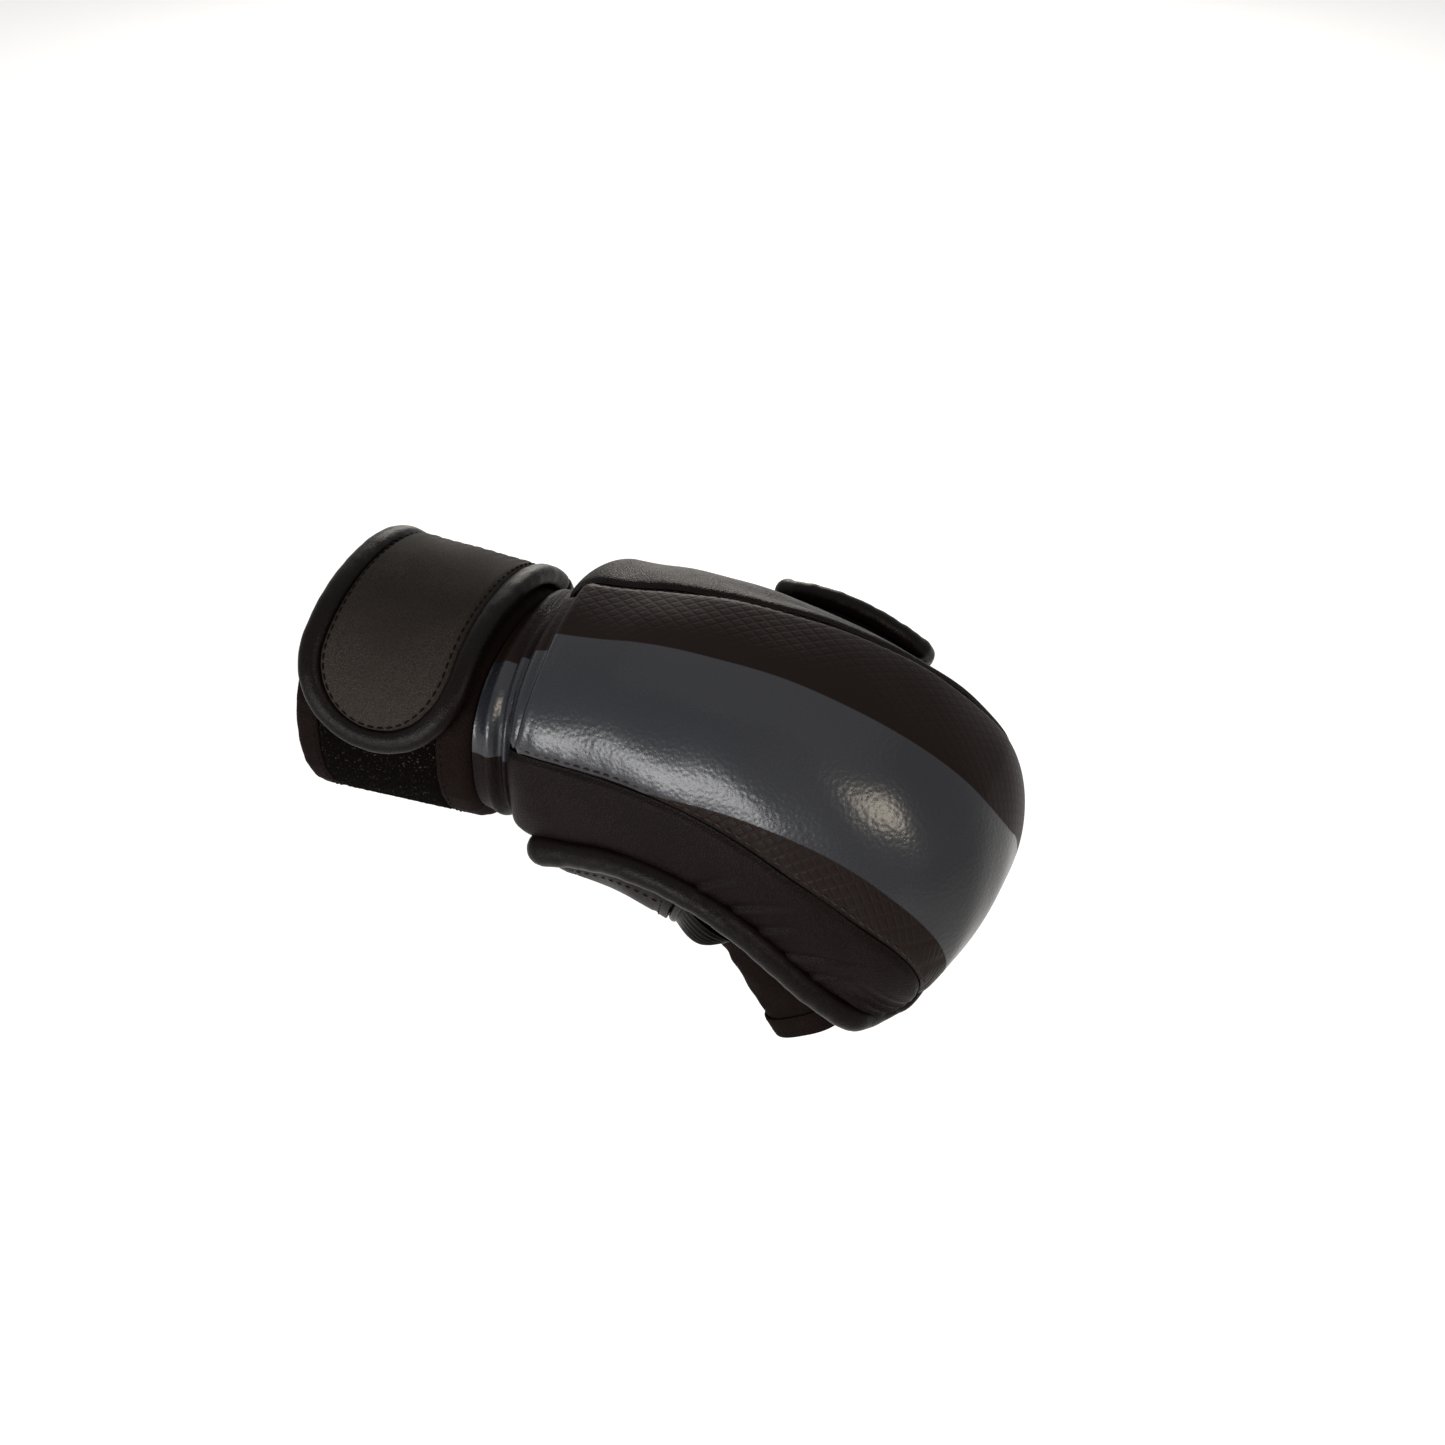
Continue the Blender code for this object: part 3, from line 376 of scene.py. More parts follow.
def rolled(path, up, width, height, steps=20, closed=False, power=2.0):
    """A rounded section carried along a path. At each point it is width times the cosine of an angle to
    the side and height times its sine upwards; open ends close in a quarter round."""
    path = np.asarray(path, float)
    tangent = np.roll(path, -1, 0) - np.roll(path, 1, 0) if closed else np.gradient(path, axis=0)
    tangent = unit(tangent)
    side = unit(np.cross(tangent, up))
    lift = np.cross(side, tangent)
    width = width + np.zeros(len(path))
    height = height + np.zeros(len(path))
    if not closed:
        turn = np.radians(ROUND_END)
        first, last = np.zeros(len(turn), int), np.full(len(turn), len(path) - 1)
        pick = np.concatenate([first, np.arange(len(path)), last])
        shrink = np.concatenate([np.cos(turn), np.ones(len(path)), np.cos(turn[::-1])])
        reach = np.concatenate([-np.sin(turn), np.zeros(len(path)), np.sin(turn[::-1])])
        path = path[pick] + tangent[pick] * (reach * np.minimum(width, height)[pick])[:, None]
        side, lift = side[pick], lift[pick]
        width, height = width[pick] * shrink, height[pick] * shrink
    around = full_turn(steps)
    out = np.sign(np.cos(around)) * np.abs(np.cos(around)) ** (2 / power)
    rise = np.sign(np.sin(around)) * np.abs(np.sin(around)) ** (2 / power)
    rings = path[:, None] + (width[:, None] * out)[..., None] * side[:, None]
    rings = rings + (height[:, None] * rise)[..., None] * lift[:, None]
    if closed:
        return closed_rings(rings)
    count = len(rings) * steps
    ends = [list(range(steps)), list(range(count - steps, count))]
    return rings.reshape(-1, 3), corner_numbers(len(rings), steps, True).tolist() + ends


# %% [markdown]
# Each stitch is the same small capsule, bent down at its ends where the thread enters the leather.
# Blender could instance it along a curve, but here every capsule is worked out at once: the seam's
# points are walked at an even pitch, and the unit capsule is turned to each of them.

# %% Stitches along a seam
STITCH_RINGS = 7
STITCH_CORNERS = 6
STITCH_SINK = 0.9
STITCH_STEP = 0.4


def along_path(values, travelled, at):
    return np.stack([np.interp(at, travelled, values[:, k]) for k in range(3)], axis=-1)


def stitched(path, up, pitch=3.4, length=2.5, radius=0.34, closed=False):
    """Capsules: rings at shares t of the half-length, radius times sqrt(1 - t^4), sunk by t^2."""
    if closed:
        path, up = np.vstack([path, path[:1]]), np.vstack([up, up[:1]])
    travelled = run_of(path)
    count = max(int(travelled[-1] / pitch), 1)
    at = (np.arange(count) + 0.5) * travelled[-1] / count
    behind, middle, ahead = (along_path(path, travelled, at + k * STITCH_STEP) for k in (-1, 0, 1))
    tangent = unit(ahead - behind)
    lift = unit(along_path(up, travelled, at))
    side = unit(np.cross(tangent, lift))
    lift = np.cross(side, tangent)
    t = np.linspace(-0.98, 0.98, STITCH_RINGS)
    turn = full_turn(STITCH_CORNERS)
    size = radius * np.sqrt(1 - t**4)
    rise = size[:, None] * np.sin(turn) - STITCH_SINK * radius * (t**2)[:, None]
    out = size[:, None] * np.cos(turn)
    run = length / 2 * t[:, None] + 0 * out
    local = np.stack([run, out, rise], axis=-1).reshape(1, -1, 3)
    axes = np.stack([tangent, side, lift], axis=1)
    points = middle[:, None] + local @ axes
    corners = np.arange(STITCH_RINGS * STITCH_CORNERS)
    shift = len(corners) * np.arange(count)[:, None, None]
    faces = (corner_numbers(STITCH_RINGS, STITCH_CORNERS, True) + shift).reshape(-1, 4).tolist()
    ends = np.stack([corners[:STITCH_CORNERS], corners[-STITCH_CORNERS:]])
    return points.reshape(-1, 3), faces + (ends + shift).reshape(-1, STITCH_CORNERS).tolist()


def joined(*shapes):
    """Several shapes as one: each one's corner numbers move up by the points before it."""
    points, faces, first = [], [], 0
    for shape_points, shape_faces in shapes:
        points.append(shape_points)
        faces += [[first + corner for corner in face] for face in shape_faces]
        first += len(shape_points)
    return np.concatenate(points), faces


def piece(name, shape, finish, body=None, stands_for=(), attributes=None, sharp=50):
    """Links a closed shape as an object at the origin, facing outwards, with its finish and its body."""
    points, faces = shape
    mesh = bpy.data.meshes.new(name)
    mesh.from_pydata((points * MM).tolist(), [], faces)
    solid = bmesh.new()
    solid.from_mesh(mesh)
    bmesh.ops.recalc_face_normals(solid, faces=solid.faces)
    solid.to_mesh(mesh)
    solid.free()
    mesh.shade_smooth()
    mesh.set_sharp_from_angle(angle=np.radians(sharp))
    for key, values in (attributes or {}).items():
        kind, field = ("FLOAT_VECTOR", "vector") if values.ndim > 1 else ("FLOAT", "value")
        attribute = mesh.attributes.new(key, kind, "POINT")
        attribute.data.foreach_set(field, values.astype(np.float32).ravel())
    mesh.materials.append(finish)
    made = bpy.data.objects.new(name, mesh)
    bpy.context.scene.collection.objects.link(made)
    if body:
        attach(made, body)
    if stands_for:
        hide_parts(*stands_for)
    print(f"{name}: {len(points)} points")
    return made


# %% [markdown]
# ## The glove's surfaces
# The looks must sit on the solids, so the same formulas are used here: the hand's mid-line runs
# straight from the wrist and then bends to the palm, and every section across it is a superellipse.
# Section angle 0 is the thumb side, 90 degrees the back of the hand and 180 the little finger's side.

# %% Mid-line and sections
GAP = 0.3
LEATHER = 1.4
LINING = 1.2
SEAM_GAP = 0.8
MIDLINE_HEIGHT = 2.5
STRAIGHT_LENGTH = 112.0
BEND_RADIUS = 95.0
BEND = np.radians(46.0)
HAND_OFFSET = -2.0
OFFSET_LENGTH = 60.0


def ease(value):
    """A smooth step from 0 to 1."""
    value = np.clip(value, 0, 1)
    return value * value * (3 - 2 * value)


def section(angle, half_width, top, bottom, upper_power, lower_power):
    """A superellipse: each coordinate is its half-size times a power of the cosine or sine."""
    cos, sin = np.cos(angle), np.sin(angle)
    power = np.where(sin >= 0, upper_power, lower_power)
    across = half_width * np.sign(cos) * np.abs(cos) ** (2 / power)
    up = np.where(sin >= 0, top, bottom) * np.sign(sin) * np.abs(sin) ** (2 / power)
    return across, up


def angle_at(share, power):
    """The section angle whose height is this share of the section's own height."""
    return np.arcsin(np.clip(share, 0, 1) ** (power / 2))


def place(station, across, up):
    """A point at a distance along the mid-line: straight, then a circular bend, then straight on."""
    station, across, up = np.broadcast_arrays(station, across, up)
    bend = np.clip((station - STRAIGHT_LENGTH) / BEND_RADIUS, 0, BEND)
    beyond = np.maximum(station - STRAIGHT_LENGTH - BEND_RADIUS * BEND, 0)
    x = np.minimum(station, STRAIGHT_LENGTH) + BEND_RADIUS * np.sin(bend) + beyond * np.cos(bend)
    z = MIDLINE_HEIGHT - BEND_RADIUS * (1 - np.cos(bend)) - beyond * np.sin(bend)
    return np.stack([x + up * np.sin(bend), across, z + up * np.cos(bend)], axis=-1)


def heading(station):
    """The mid-line's direction, from two points a millimetre apart."""
    return place(station + 0.5, 0.0, 0.0) - place(station - 0.5, 0.0, 0.0)


def outward(grid, wrap=False):
    """Unit normals of a grid whose rows run along a piece and whose columns run round it."""
    along = np.gradient(grid, axis=0)
    if wrap:
        around = np.roll(grid, -1, 1) - np.roll(grid, 1, 1)
    else:
        around = np.gradient(grid, axis=1)
    return unit(np.cross(around, along))


def raised(grid, height):
    """The grid moved along its normals by a height at each point."""
    return grid + outward(grid) * height[..., None]


def distances(grid):
    """Millimetres travelled along the columns and along the rows of a grid, from its first corner."""
    around = np.linalg.norm(np.diff(grid, axis=1), axis=-1)
    along = np.linalg.norm(np.diff(grid, axis=0), axis=-1)
    around = np.hstack([np.zeros((len(grid), 1)), np.cumsum(around, axis=1)])
    along = np.vstack([np.zeros((1, grid.shape[1])), np.cumsum(along, axis=0)])
    return along, around


def hide_of(grid):
    """The "hide" attribute of a wall over this grid, the same for both faces."""
    along, around = distances(grid)
    flat = np.stack([along, around, 0 * along], axis=-1).reshape(-1, 3)
    return np.concatenate([flat, flat])


def line_with_up(surface, *spot):
    """A line on a surface, with the directions away from it; the last of the spot is its height."""
    line = surface(*spot)
    return line, surface(*spot[:-1], spot[-1] + 1) - line


def between(first, second, columns=40):
    """A sheet from one line to another, with the share of the way across."""
    across = np.linspace(0, 1, columns)[None, :, None]
    return first[:, None] * (1 - across) + second[:, None] * across, across


def lined(name, outer, inner, body, node, wrap=False):
    """A woven lining between two grids."""
    weave = {"hide": hide_of(inner)}
    piece(name, wall(outer, inner, wrap), lining_weave, body, [node], weave)


def bell(distance, width):
    """1 at no distance, falling to 1/e at the width: exp(-(distance / width)^2)."""
    return np.exp(-((distance / width) ** 2))


def dent(distance, width, depth):
    """A groove or a tucked edge: depth times a bell of this width."""
    return -depth * bell(distance, width)


def ripples(first, second, waves):
    """Gentle unevenness: a sum of sines of both distances, each with its height and two wavelengths."""
    total = 0
    for height, wave_first, wave_second, phase in waves:
        total = total + height * np.sin(2 * np.pi * (first / wave_first + second / wave_second) + phase)
    return total


# %% [markdown]
# ## Cuff
# The cuff is a padded tube: a leather outside, foam, and a woven lining, with folded tape over both
# edges. A cylinder with a Solidify modifier would do for a stiff cuff. Here the wall is drawn as one
# soft sleeve that rounds off into the tapes, and the lining is a sleeve of its own.

# %% Cuff sleeve, lining and tapes
CUFF_LENGTH = 62.0
CUFF_HALF_WIDTH = 43.0
CUFF_HALF_HEIGHT = 37.5
CUFF_TAPER = 2.5
CUFF_POWER = 2.2
CUFF_WALL = 11.2
CUFF_STEPS = 220
LINING_INSET = 0.4
TAPE = 1.2
WRIST_TAPE_WIDTH = 8.0
HAND_TAPE_WIDTH = 11.0
EDGE_ROUND = 4.0
STITCH_INSET = 1.6


def cuff_point(x, angle, height):
    """A point a height above the cuff's leather, which narrows evenly towards the hand."""
    shrink = CUFF_TAPER * x / CUFF_LENGTH
    half_height = CUFF_HALF_HEIGHT - shrink + height
    across, up = section(
        angle, CUFF_HALF_WIDTH - shrink + height, half_height, half_height, CUFF_POWER, CUFF_POWER
    )
    return np.stack(np.broadcast_arrays(x, across, up), axis=-1)


around_cuff = full_turn(CUFF_STEPS)[None, :]
rounded = EDGE_ROUND * (1 - np.cos(np.linspace(0, np.pi / 2, 8)))
x = np.concatenate([rounded, np.linspace(EDGE_ROUND + 1, CUFF_LENGTH / 2, 16)])
x = np.concatenate([x, CUFF_LENGTH - x[-2::-1]])[:, None]
from_end = np.minimum(np.minimum(x, CUFF_LENGTH - x), EDGE_ROUND)
rounding = EDGE_ROUND - np.sqrt(EDGE_ROUND**2 - (EDGE_ROUND - from_end) ** 2)
puffs = ripples(x, np.degrees(around_cuff), [(0.12, 41.0, 24.0, 0.3), (0.08, 17.0, 11.0, 1.9)])
sleeve = wall(
    cuff_point(x, around_cuff, puffs - rounding),
    cuff_point(x, around_cuff, -CUFF_WALL + LINING + GAP + rounding),
    wrap=True,
)
cuff_sleeve = piece(
    "cuff_sleeve", sleeve, side_leather, "cuff", ["cuff_shell", "cuff_foam"]
)
x = np.linspace(LINING_INSET, CUFF_LENGTH - LINING_INSET, 40)[:, None]
faces = [cuff_point(x, around_cuff, height - CUFF_WALL) for height in (LINING, 0.0)]
lined("cuff_inner_lining", *faces, "cuff", "cuff_lining", wrap=True)

# %% [markdown]
# A tape folded over an edge has a U for its cross-section. The line of the U is drawn first, with
# round corners, and then it is thickened to both sides and carried round the cuff.


# %% Folded edge tapes
def folded_tape(edge, width, inward):
    """Outline of the tape's section as x and height: an outer leg, a rounded edge and an inner leg."""
    outer, inner = GAP + TAPE / 2, -CUFF_WALL - GAP - TAPE / 2
    corner = np.linspace(0, np.pi / 2, 9)
    leg = np.linspace(width, EDGE_ROUND - 1, 14)
    bend_x = (EDGE_ROUND - 1) - EDGE_ROUND * np.sin(corner)
    bend_height = EDGE_ROUND * (1 - np.cos(corner))
    line_x = np.concatenate([leg, bend_x[1:], bend_x[::-1], leg[::-1][1:]])
    line_height = np.concatenate(
        [outer + 0 * leg, outer - bend_height[1:], inner + bend_height[::-1], inner + 0 * leg[1:]]
    )
    line = np.stack([line_x, line_height], axis=-1)
    direction = unit(np.gradient(line, axis=0))
    normal = np.stack([-direction[:, 1], direction[:, 0]], axis=-1) * TAPE / 2
    thin = np.minimum(np.arange(len(line)), np.arange(len(line))[::-1])
    normal = normal * np.clip(0.35 + 0.35 * thin, 0, 1)[:, None]
    outline = np.concatenate([line + normal, (line - normal)[::-1]])
    return edge + inward * outline[:, 0], outline[:, 1]


def hoop(x, height, pucker):
    """A closed outline carried all the way round the cuff, with its height rising and falling a little."""
    angle = around_cuff.T
    wave = ripples(np.degrees(angle), 0, [(pucker, 13.0, 1.0, 0.0), (0.6 * pucker, 7.3, 1.0, 1.1)])
    return closed_rings(cuff_point(x, angle, height + wave * (height > -1)))


for edge, width, inward, name in (
    (0.0, WRIST_TAPE_WIDTH, 1, "cuff_wrist_binding"),
    (CUFF_LENGTH, HAND_TAPE_WIDTH, -1, "cuff_hand_binding"),
):
    tape = hoop(*folded_tape(edge, width, inward), pucker=0.10)
    piece(f"{name}_tape", tape, soft_leather, "cuff", [name], sharp=70)
    x = edge + inward * (width - STITCH_INSET)
    line, up = line_with_up(cuff_point, x, full_turn(360), GAP + TAPE + 0.05)
    piece(f"{name}_thread", stitched(line, up, closed=True), dark_thread, "cuff")

# %% [markdown]
# ## Hook and loop
# Loop tape is sewn round the little finger's side of the cuff, and hooks sit under the strap's tip.
# A hair system would give the fuzz, but it doesn't export. A bumpy top with a fuzzy finish does.

# %% Loop patch
LOOP_PILE = 1.2
LOOP_START = np.radians(95.0)
LOOP_END = np.radians(258.0)


def fuzz(first, second):
    """An uneven pile: many short sines that never line up."""
    waves = [(0.10, 2.3, 3.1, 0.4), (0.09, -1.9, 2.7, 1.3), (0.07, 3.7, -1.6, 2.1), (0.05, 1.3, 1.7, 0.9)]
    return ripples(first, second, waves)


loop_x = np.linspace(WRIST_TAPE_WIDTH + GAP, CUFF_LENGTH - HAND_TAPE_WIDTH - GAP, 70)[:, None]
loop_angle = np.linspace(LOOP_START, LOOP_END, 200)[None, :]
loop_edge = np.minimum(loop_x - loop_x[0], loop_x[-1] - loop_x)
loop_height = GAP + LOOP_PILE + fuzz(loop_x, 42 * loop_angle) + dent(loop_edge, 1.2, 0.5)
loop_floor = cuff_point(loop_x, loop_angle, GAP)
loop_wall = wall(cuff_point(loop_x, loop_angle, loop_height), loop_floor)
piece("cuff_loop_pile", loop_wall, loop_pile, "cuff", ["cuff_loop_patch"])

# %% [markdown]
# ## Wrist strap
# The strap's face is a flat padded panel inside a fat rolled edge, with a round tip. The panel is a
# grid across and along: along, it is straight and then turns through a quarter ellipse, so that its
# rows shorten towards the tip. The edge is tucked down where the stitches hold it to the roll.

# %% Strap outline
STRAP_WIDTH = 62.0
STRAP_ROLL = 4.2
STRAP_ROLL_RISE = 3.6
STRAP_TIP_ROUND = 34.0
STRAP_ROOT = np.radians(34.0)
STRAP_TIP = np.radians(174.0)
STRAP_BASE = np.radians(-75.0)
HOOK_START = np.radians(118.0)
STRAP_FLOOR = 1.8
BACKING_FLOOR = 3.1
STRAP_BACKING = 0.8
FOAM_FLOOR = 4.2
STRAP_TOP = 8.2
HOOK_PILE = 1.0
STRAP_MIDDLE = CUFF_LENGTH / 2

fine_angle = np.linspace(STRAP_ROOT, STRAP_TIP, 600)
fine_line = cuff_point(STRAP_MIDDLE, fine_angle, STRAP_TOP)
fine_length = run_of(fine_line)


def strap_grid(inset, first_angle=STRAP_ROOT, rows=110, tip_rows=46, columns=61):
    """Angle and x of the strap's points inside an inset, and each point's distance from that edge."""
    start = np.interp(first_angle, fine_angle, fine_length)
    tip = STRAP_TIP_ROUND - inset
    half = STRAP_WIDTH / 2 - inset
    corner = fine_length[-1] - STRAP_TIP_ROUND
    turn = np.radians(86) * np.linspace(0, 1, tip_rows + 1)[1:]
    straight = np.linspace(start, corner, rows)
    along = np.concatenate([straight, corner + tip * np.sin(turn)])[None, :]
    narrow = np.concatenate([1 + 0 * straight, np.cos(turn)])[None, :]
    share = np.sin(np.pi / 2 * np.linspace(-1, 1, columns))[:, None]
    beyond = np.concatenate([0 * straight, np.sin(turn)])[None, :]
    edge = half * (1 - np.hypot(beyond, share * narrow))
    angle = np.interp(along, fine_length, fine_angle)
    return STRAP_MIDDLE + half * narrow * share, angle, edge, along


def strap_edge(inset, height, straight_count=60, tip_count=60):
    """The U-shaped line at an inset from the strap's edge, and the directions away from the cuff."""
    tip = STRAP_TIP_ROUND - inset
    half = STRAP_WIDTH / 2 - inset
    corner = fine_length[-1] - STRAP_TIP_ROUND
    straight = np.linspace(0, corner, straight_count)
    turn = np.linspace(0, np.pi, tip_count)[1:-1]
    along = np.concatenate([straight, corner + tip * np.sin(turn), straight[::-1]])
    x = np.concatenate([half + 0 * straight, half * np.cos(turn), -half + 0 * straight])
    angle = np.interp(along, fine_length, fine_angle)
    return line_with_up(cuff_point, STRAP_MIDDLE + x, angle, height)


# %% Strap face, back, hooks and rolled edge
INSIDE_ROLL = 2 * STRAP_ROLL + GAP
FACE_INSET = INSIDE_ROLL - 0.6
TUCK_DEPTH = 1.5
TUCK_WIDTH = 1.0
GROOVE_DEPTH = 0.35
GROOVE_WIDTH = 0.7
GATHER_PITCH = 4.3
GATHER_HEIGHT = 0.22


def strap_relief(x, edge, slack):
    """The panel is tucked in at its edge, grooved along the stitches, and gathered where it is slack."""
    tucked = dent(edge, TUCK_WIDTH, TUCK_DEPTH) + dent(edge - STITCH_INSET, GROOVE_WIDTH, GROOVE_DEPTH)
    return tucked + GATHER_HEIGHT * np.sin(2 * np.pi * x / GATHER_PITCH) * slack


x, angle, edge, along = strap_grid(FACE_INSET)
soft = ripples(x, along, [(0.10, 37.0, 61.0, 0.2), (0.07, -23.0, 34.0, 1.4)])
soft = soft + strap_relief(x, edge, 1 - ease((along - 16) / 10))
face = cuff_point(x, angle, STRAP_TOP + 0.1 + soft)
floor = cuff_point(x, angle, FOAM_FLOOR)
strap_face = piece(
    "strap_face", wall(face, floor), strap_leather, "strap", ["strap_panel", "strap_foam"]
)
x, angle, _, _ = strap_grid(FACE_INSET, rows=60, tip_rows=30, columns=31)
back_wall = wall(*(cuff_point(x, angle, BACKING_FLOOR + height) for height in (STRAP_BACKING, 0.0)))
piece("strap_back", back_wall, side_leather, "strap", ["strap_backing"])
x, angle, _, along = strap_grid(INSIDE_ROLL, HOOK_START, rows=70, tip_rows=40, columns=51)
hook_floor = cuff_point(x, angle, STRAP_FLOOR + 0.15 + fuzz(x, along))
hook_wall = wall(cuff_point(x, angle, STRAP_FLOOR + HOOK_PILE), hook_floor)
piece("strap_hooks", hook_wall, hook_pile, "strap", ["strap_hook_patch"])
line, up = strap_edge(STRAP_ROLL, STRAP_FLOOR + STRAP_ROLL_RISE + GAP, 110, 110)
run = run_of(line)
pucker = 1 + ripples(run, 0, [(0.010, 11.5, 1.0, 0.0), (0.007, 6.3, 1.0, 0.8)])
roll = rolled(line, up, STRAP_ROLL * pucker, STRAP_ROLL_RISE * pucker, steps=24, power=2.3)
piece("strap_rolled_edge", roll, edge_leather, "strap", ["strap_roll"])
line, up = strap_edge(FACE_INSET + STITCH_INSET, STRAP_TOP - 0.15)
piece("strap_thread", stitched(line, up), dark_thread, "strap")

# %% [markdown]
# The other part of the strap is sewn to the cuff, round the thumb's side. It has the same panel and
# the same rolled edges, and it thins out where it runs under the cuff.

# %% Fixed part of the strap
BASE_RADIUS = 46.0
BASE_THINNING = 12.0
ROLL_PART = slice(2, -4)
THREAD_PART = slice(10, -3)
base_angle = np.linspace(STRAP_BASE, STRAP_ROOT - SEAM_GAP / CUFF_HALF_WIDTH, 120)
half = STRAP_WIDTH / 2 - FACE_INSET
share = np.sin(np.pi / 2 * np.linspace(-1, 1, 51))[:, None]
x = STRAP_MIDDLE + half * share
run = BASE_RADIUS * (base_angle - STRAP_BASE)[None, :]
edge = half * (1 - np.abs(share))
thin = 1 - 0.45 * (1 - ease(run / BASE_THINNING))
soft = ripples(x, run, [(0.10, 37.0, 53.0, 0.9), (0.06, -19.0, 29.0, 0.4)])
soft = soft + strap_relief(x, edge, ease((run - 50) / 14))
face = cuff_point(x, base_angle[None, :], STRAP_FLOOR + (STRAP_TOP - STRAP_FLOOR + soft) * thin)
floor = cuff_point(x, base_angle[None, :], STRAP_FLOOR)
strap_fixed = piece(
    "strap_fixed_panel", wall(face, floor), strap_leather, "cuff", ["strap_base"]
)
run = run[0, ROLL_PART]
thinned = 1 - 0.3 * (1 - ease(run / BASE_THINNING))
size = STRAP_ROLL_RISE * thinned
pucker = 1 + ripples(run, 0, [(0.010, 11.5, 1.0, 0.5), (0.007, 6.3, 1.0, 0.1)])
rolls, threads = [], []
for side in (-1, 1):
    roll_x = STRAP_MIDDLE + side * (STRAP_WIDTH / 2 - STRAP_ROLL)
    line, up = line_with_up(cuff_point, roll_x, base_angle[ROLL_PART], STRAP_FLOOR + size + GAP)
    rolls.append(rolled(line, up, STRAP_ROLL * thinned * pucker, size * pucker, steps=24, power=2.3))
    thread_x = STRAP_MIDDLE + side * (half - STITCH_INSET)
    line, up = line_with_up(cuff_point, thread_x, base_angle[THREAD_PART], STRAP_TOP - 0.3)
    threads.append(stitched(line, up))
piece("strap_fixed_rolls", joined(*rolls), edge_leather, "cuff")
piece("strap_fixed_thread", joined(*threads), dark_thread, "cuff")

# %% [markdown]
# At the root, the two parts are one leather: a thin strip lies inside both of them.

# %% Strap root
ROOT_OVERLAP = 2.5
ROOT_TUCK = 0.06
ROOT_DEPTHS = (0.5, 1.3)
ends = STRAP_ROOT + np.array([-SEAM_GAP / CUFF_HALF_WIDTH, 0.0])
angle = np.linspace(ends[0] - ROOT_TUCK, ends[1] + ROOT_TUCK, 24)[None, :]
x = STRAP_MIDDLE + (half + ROOT_OVERLAP) * np.linspace(-1, 1, 40)[:, None]
root = wall(*(cuff_point(x, angle, STRAP_TOP - depth) for depth in ROOT_DEPTHS))
root_web = piece("strap_root_web", root, strap_leather, None)
root_ends = cuff_point(STRAP_MIDDLE, ends, STRAP_TOP - np.mean(ROOT_DEPTHS))
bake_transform(root_web)

# %% [markdown]
# ## Hand pad
# The pad is thick foam under three leather panels: the embossed back, and a gusset down each side.
# They are patches of one smooth surface, between seam lines that are angles of its sections. Leather
# pulled over foam is tight, so it is shaped here by formula, and only its edges tuck in at the seams.

# %% Pad surfaces
NECK_START = 63.8
NECK_LENGTH = 14.0
PAD_START = 78.1
PAD_LENGTH = 152.0
PAD_END = PAD_START + PAD_LENGTH
PAD_POWER = 2.4
KNUCKLE_HALF_WIDTH = 55.6
ANCHOR_AT = 164.5
LOWER_DEPTH = 38.0
SIDE_WALL = 7.5
END_WALL = 6.5
REAR_HALF_WIDTH = 41.5
FRONT_HALF_WIDTH = 36.0
PIPING_SETBACK = 11.0
SHOULDER_DROP = 3.5
REAR_ROUND = 14.0
FRONT_ROUND = 60.0
ROUND_POWER = 2.2
KNUCKLES_FROM, KNUCKLES_RUN = 118.0, 42.0
WRIST_ROOM, HAND_ROOM, FINGER_ROOM = 31.0, 21.0, 5.0
WRIST_RUN = 22.0
CROWN_REAR, CROWN_RISE, CROWN_RUN = 51.5, 17.5, 105.0
REAR_NARROWER, WIDTH_RUN = 5.0, 85.0
RISE_FROM = PAD_START + 7
FRONT_DROP, REAR_DEEPER = 0.5, 16.5
SEAM_TUCK = (1.5, 1.0)


def swell(station):
    """One along the pad's body, falling to nothing in a rounded end behind and a longer one in front."""
    front = np.clip((station - PAD_END + FRONT_ROUND) / FRONT_ROUND, 0, 1)
    rear = np.clip((PAD_START + REAR_ROUND - station) / REAR_ROUND, 0, 1)
    return ((1 - front**ROUND_POWER) * (1 - rear**ROUND_POWER)) ** (1 / ROUND_POWER)


def past_knuckles(station):
    return ease((station - KNUCKLES_FROM) / KNUCKLES_RUN)


def cavity_top(station):
    """Room above the mid-line: most at the wrist, less over the hand and least over the fingers."""
    room = HAND_ROOM + (WRIST_ROOM - HAND_ROOM) * (1 - ease((station - PAD_START) / WRIST_RUN))
    return room - (HAND_ROOM - FINGER_ROOM) * past_knuckles(station)


def pad_top(station):
    crown = CROWN_REAR + CROWN_RISE * ease((station - RISE_FROM) / CROWN_RUN)
    rim = cavity_top(station) + END_WALL
    return rim + (crown - rim) * swell(station)


def pad_half_width(station):
    body = KNUCKLE_HALF_WIDTH - REAR_NARROWER * (1 - ease((station - RISE_FROM) / WIDTH_RUN))
    rim = np.where(station < ANCHOR_AT, REAR_HALF_WIDTH, FRONT_HALF_WIDTH)
    return rim + (body - rim) * swell(station)


def hand_centre(station):
    return HAND_OFFSET * ease((station - PAD_START) / OFFSET_LENGTH)


def edge_angle(station):
    """How far the pad's lower edge lies below the mid-line: most at the wrist, least in front."""
    along = np.clip((station - PAD_START - PIPING_SETBACK) / (PAD_LENGTH - PIPING_SETBACK), 0, 1)
    return angle_at((FRONT_DROP + REAR_DEEPER * (1 - along) ** 3) / LOWER_DEPTH, PAD_POWER)


def thumb_seam(station):
    return np.radians(86 - 38 * ((station - PAD_START) / PAD_LENGTH) ** 2)


def little_seam(station):
    rise = ease((station - ANCHOR_AT) / (PAD_END - ANCHOR_AT))
    return np.pi - angle_at(0.35 + 0.2 * rise, PAD_POWER)


